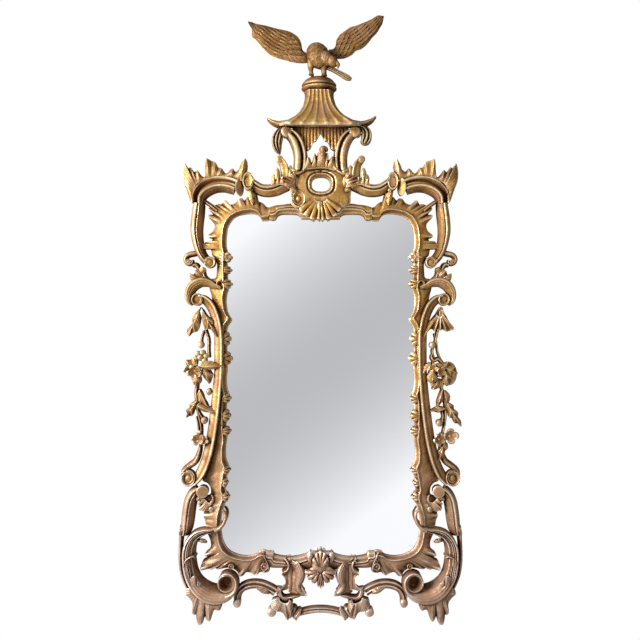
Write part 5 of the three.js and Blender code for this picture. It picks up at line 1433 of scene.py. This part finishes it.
def wing(lead, trail, scales, pitch=13.0, wide=15.0, quill_wide=9.0, ties=()):
    """A feathered wing between its leading and trailing edge. Up to the share `scales`
    it is covered with staggered round scales, two courses of mod(s/(2 pitch) - bump, 1);
    beyond it run long quills, 2 * |sin(pi * fan / quill_wide)|^0.6, with fine barbs."""
    rows = 150
    a = edge(lead, rows)
    b = edge(trail, rows, ties)
    v = np.linspace(0, 1, 64)[None]
    gone = gone_along((a + b) / 2)[:, None]
    breadth = np.hypot(*(b - a).T)[:, None]
    t = (v - 0.5) * breadth
    s = gone + 10 * (v - 0.5) ** 2
    length = gone[-1]

    def course(shift):
        """One course of scales: mod(s / (2 pitch) - bump + shift/2, 1) across the lanes."""
        lane = np.mod(t / wide + shift / 2, 1.0)
        bump = 0.5 * (1 - (2 * lane - 1) ** 2)
        return np.mod(s / (2 * pitch) - bump + shift / 2, 1.0)

    scale = 3.2 * np.maximum(course(0), course(1)) - 2.6
    near = np.clip((scales - gone / length) / 0.04, 0, 1)
    fan = (v - 0.5) * np.maximum(breadth, 45) + 0.12 * gone
    quill = 2.0 * np.abs(np.sin(np.pi * fan / quill_wide)) ** 0.6 - 1.2
    barb = 0.35 * np.sin(2 * np.pi * (gone + np.abs(fan)) / 4.5)
    layer = 1.2 * np.mod(gone / 31.0 - 0.35 * np.sin(np.pi * fan / quill_wide) ** 2, 1.0) - 0.6
    camber = 3.0 * np.sin(np.pi * v) - 1.5
    face = 38 + camber + near * scale + (1 - near) * (quill + barb + layer)
    thin = np.minimum(1, 4 * np.minimum(v, 1 - v) + 0.35)
    face = 30 + (face - 30) * thin
    plan = a[:, None] * (1 - v[..., None]) + b[:, None] * v[..., None]
    inset = [60, 44, 20, 3]
    behind = np.full((rows, len(inset)), 28.0)
    return skin(np.concatenate([
        np.dstack([plan[..., 0], face, plan[..., 1]]),
        np.dstack([plan[:, inset, 0], behind, plan[:, inset, 1]]),
    ], axis=1))


right_wing = wing(
    [[22, 930], [34, 932], [41, 940], [44, 958], [54, 972], [70, 984], [82, 992], [97, 996],
     [115, 1003], [138, 1013], [158, 1024], [174, 1021]],
    [[22, 912], [32, 906], [46, 904], [62, 904.5], [76, 909], [88, 916], [98, 926],
     [112, 931], [128, 944], [142, 962], [154, 974], [162, 987], [170, 1001], [174, 1019]],
    scales=0.45, ties=[(6, 0.4)])
carving("right_wing", [right_wing])
left_wing = wing(
    [[-22, 916], [-38, 921], [-49, 929], [-53, 948], [-60, 963], [-72, 973], [-88, 981],
     [-120, 988], [-150, 996], [-176, 1001], [-190, 1006], [-199, 1006]],
    [[-22, 900], [-36, 893], [-60, 892], [-84, 896], [-98, 900], [-120, 906], [-140, 915],
     [-156, 930], [-170, 946], [-178, 957], [-189, 966], [-188, 984], [-196, 998],
     [-199, 1005]],
    scales=0.42, ties=[(4, 0.35)])
carving("left_wing", [left_wing])


# ---------------------------------------------------------------------------------------
# Back: two pine boards lie in the rebate behind the plate and are bradded in, over four
# pine fillets that wedge the glass. Brass strap hangers with D-rings are screwed on.


def dry_pine():
    """Old bare pine: the rings are noise drawn out fifteen times along the height of the
    board, early wood = 1 - rings above 0.45, and age darkens it unevenly."""
    pine = bpy.data.materials.new("dry_pine")
    pine.use_nodes = True
    net = Net(pine.node_tree)
    place = net.node("ShaderNodeTexCoord").outputs["Object"]
    along = net.node("ShaderNodeMapping", Vector=place)
    along.inputs["Scale"].default_value = (14.0, 14.0, 0.9)
    rings = net.wire(
        "ShaderNodeTexNoise", "Fac", Vector=along.outputs["Vector"], Scale=4.0, Detail=5.0
    )
    stain = net.wire("ShaderNodeTexNoise", "Fac", Vector=place, Scale=5.0, Detail=3.0)
    early = net.mix(stain, (0.33, 0.21, 0.12, 1), (0.52, 0.37, 0.22, 1))
    wood = net.mix(rings.above(0.45, 0.62), early, (0.30, 0.17, 0.08, 1))
    bump = net.node("ShaderNodeBump", Strength=0.4, Distance=0.0005, Height=rings)
    shader = net.node(
        "ShaderNodeBsdfPrincipled",
        Base_Color=wood,
        Roughness=0.72 + rings * 0.15,
        Normal=bump.outputs["Normal"],
    )
    net.node("ShaderNodeOutputMaterial", Surface=shader.outputs[0])
    return pine


def dull_metal(name, tint, dulled):
    """Worn metal: a bright tint with darker, rougher bloom where the noise is high."""
    metal = bpy.data.materials.new(name)
    metal.use_nodes = True
    net = Net(metal.node_tree)
    place = net.node("ShaderNodeTexCoord").outputs["Object"]
    bloom = net.wire("ShaderNodeTexNoise", "Fac", Vector=place, Scale=160.0, Detail=4.0)
    shader = net.node(
        "ShaderNodeBsdfPrincipled",
        Base_Color=net.mix(bloom.above(0.4, 0.65), tint, dulled),
        Metallic=1.0 - bloom * 0.2,
        Roughness=0.26 + bloom * 0.3,
    )
    net.node("ShaderNodeOutputMaterial", Surface=shader.outputs[0])
    return metal


pine = dry_pine()
for board in (
    "lower_backboard", "upper_backboard", "top_glazing_fillet", "bottom_glazing_fillet",
    "left_glazing_fillet", "right_glazing_fillet",
):
    refinish(board, pine)
brass = dull_metal("dull_brass", (0.72, 0.58, 0.32, 1), (0.42, 0.31, 0.15, 1))
steel = dull_metal("plain_steel", (0.62, 0.62, 0.62, 1), (0.36, 0.34, 0.32, 1))
for hand in ("left", "right"):
    for fitting in ("hanger_strap", "hanger_ring"):
        refinish(f"{hand}_{fitting}", brass)
    for screw in ("upper_hanger_screw", "lower_hanger_screw"):
        refinish(f"{hand}_{screw}", steel)
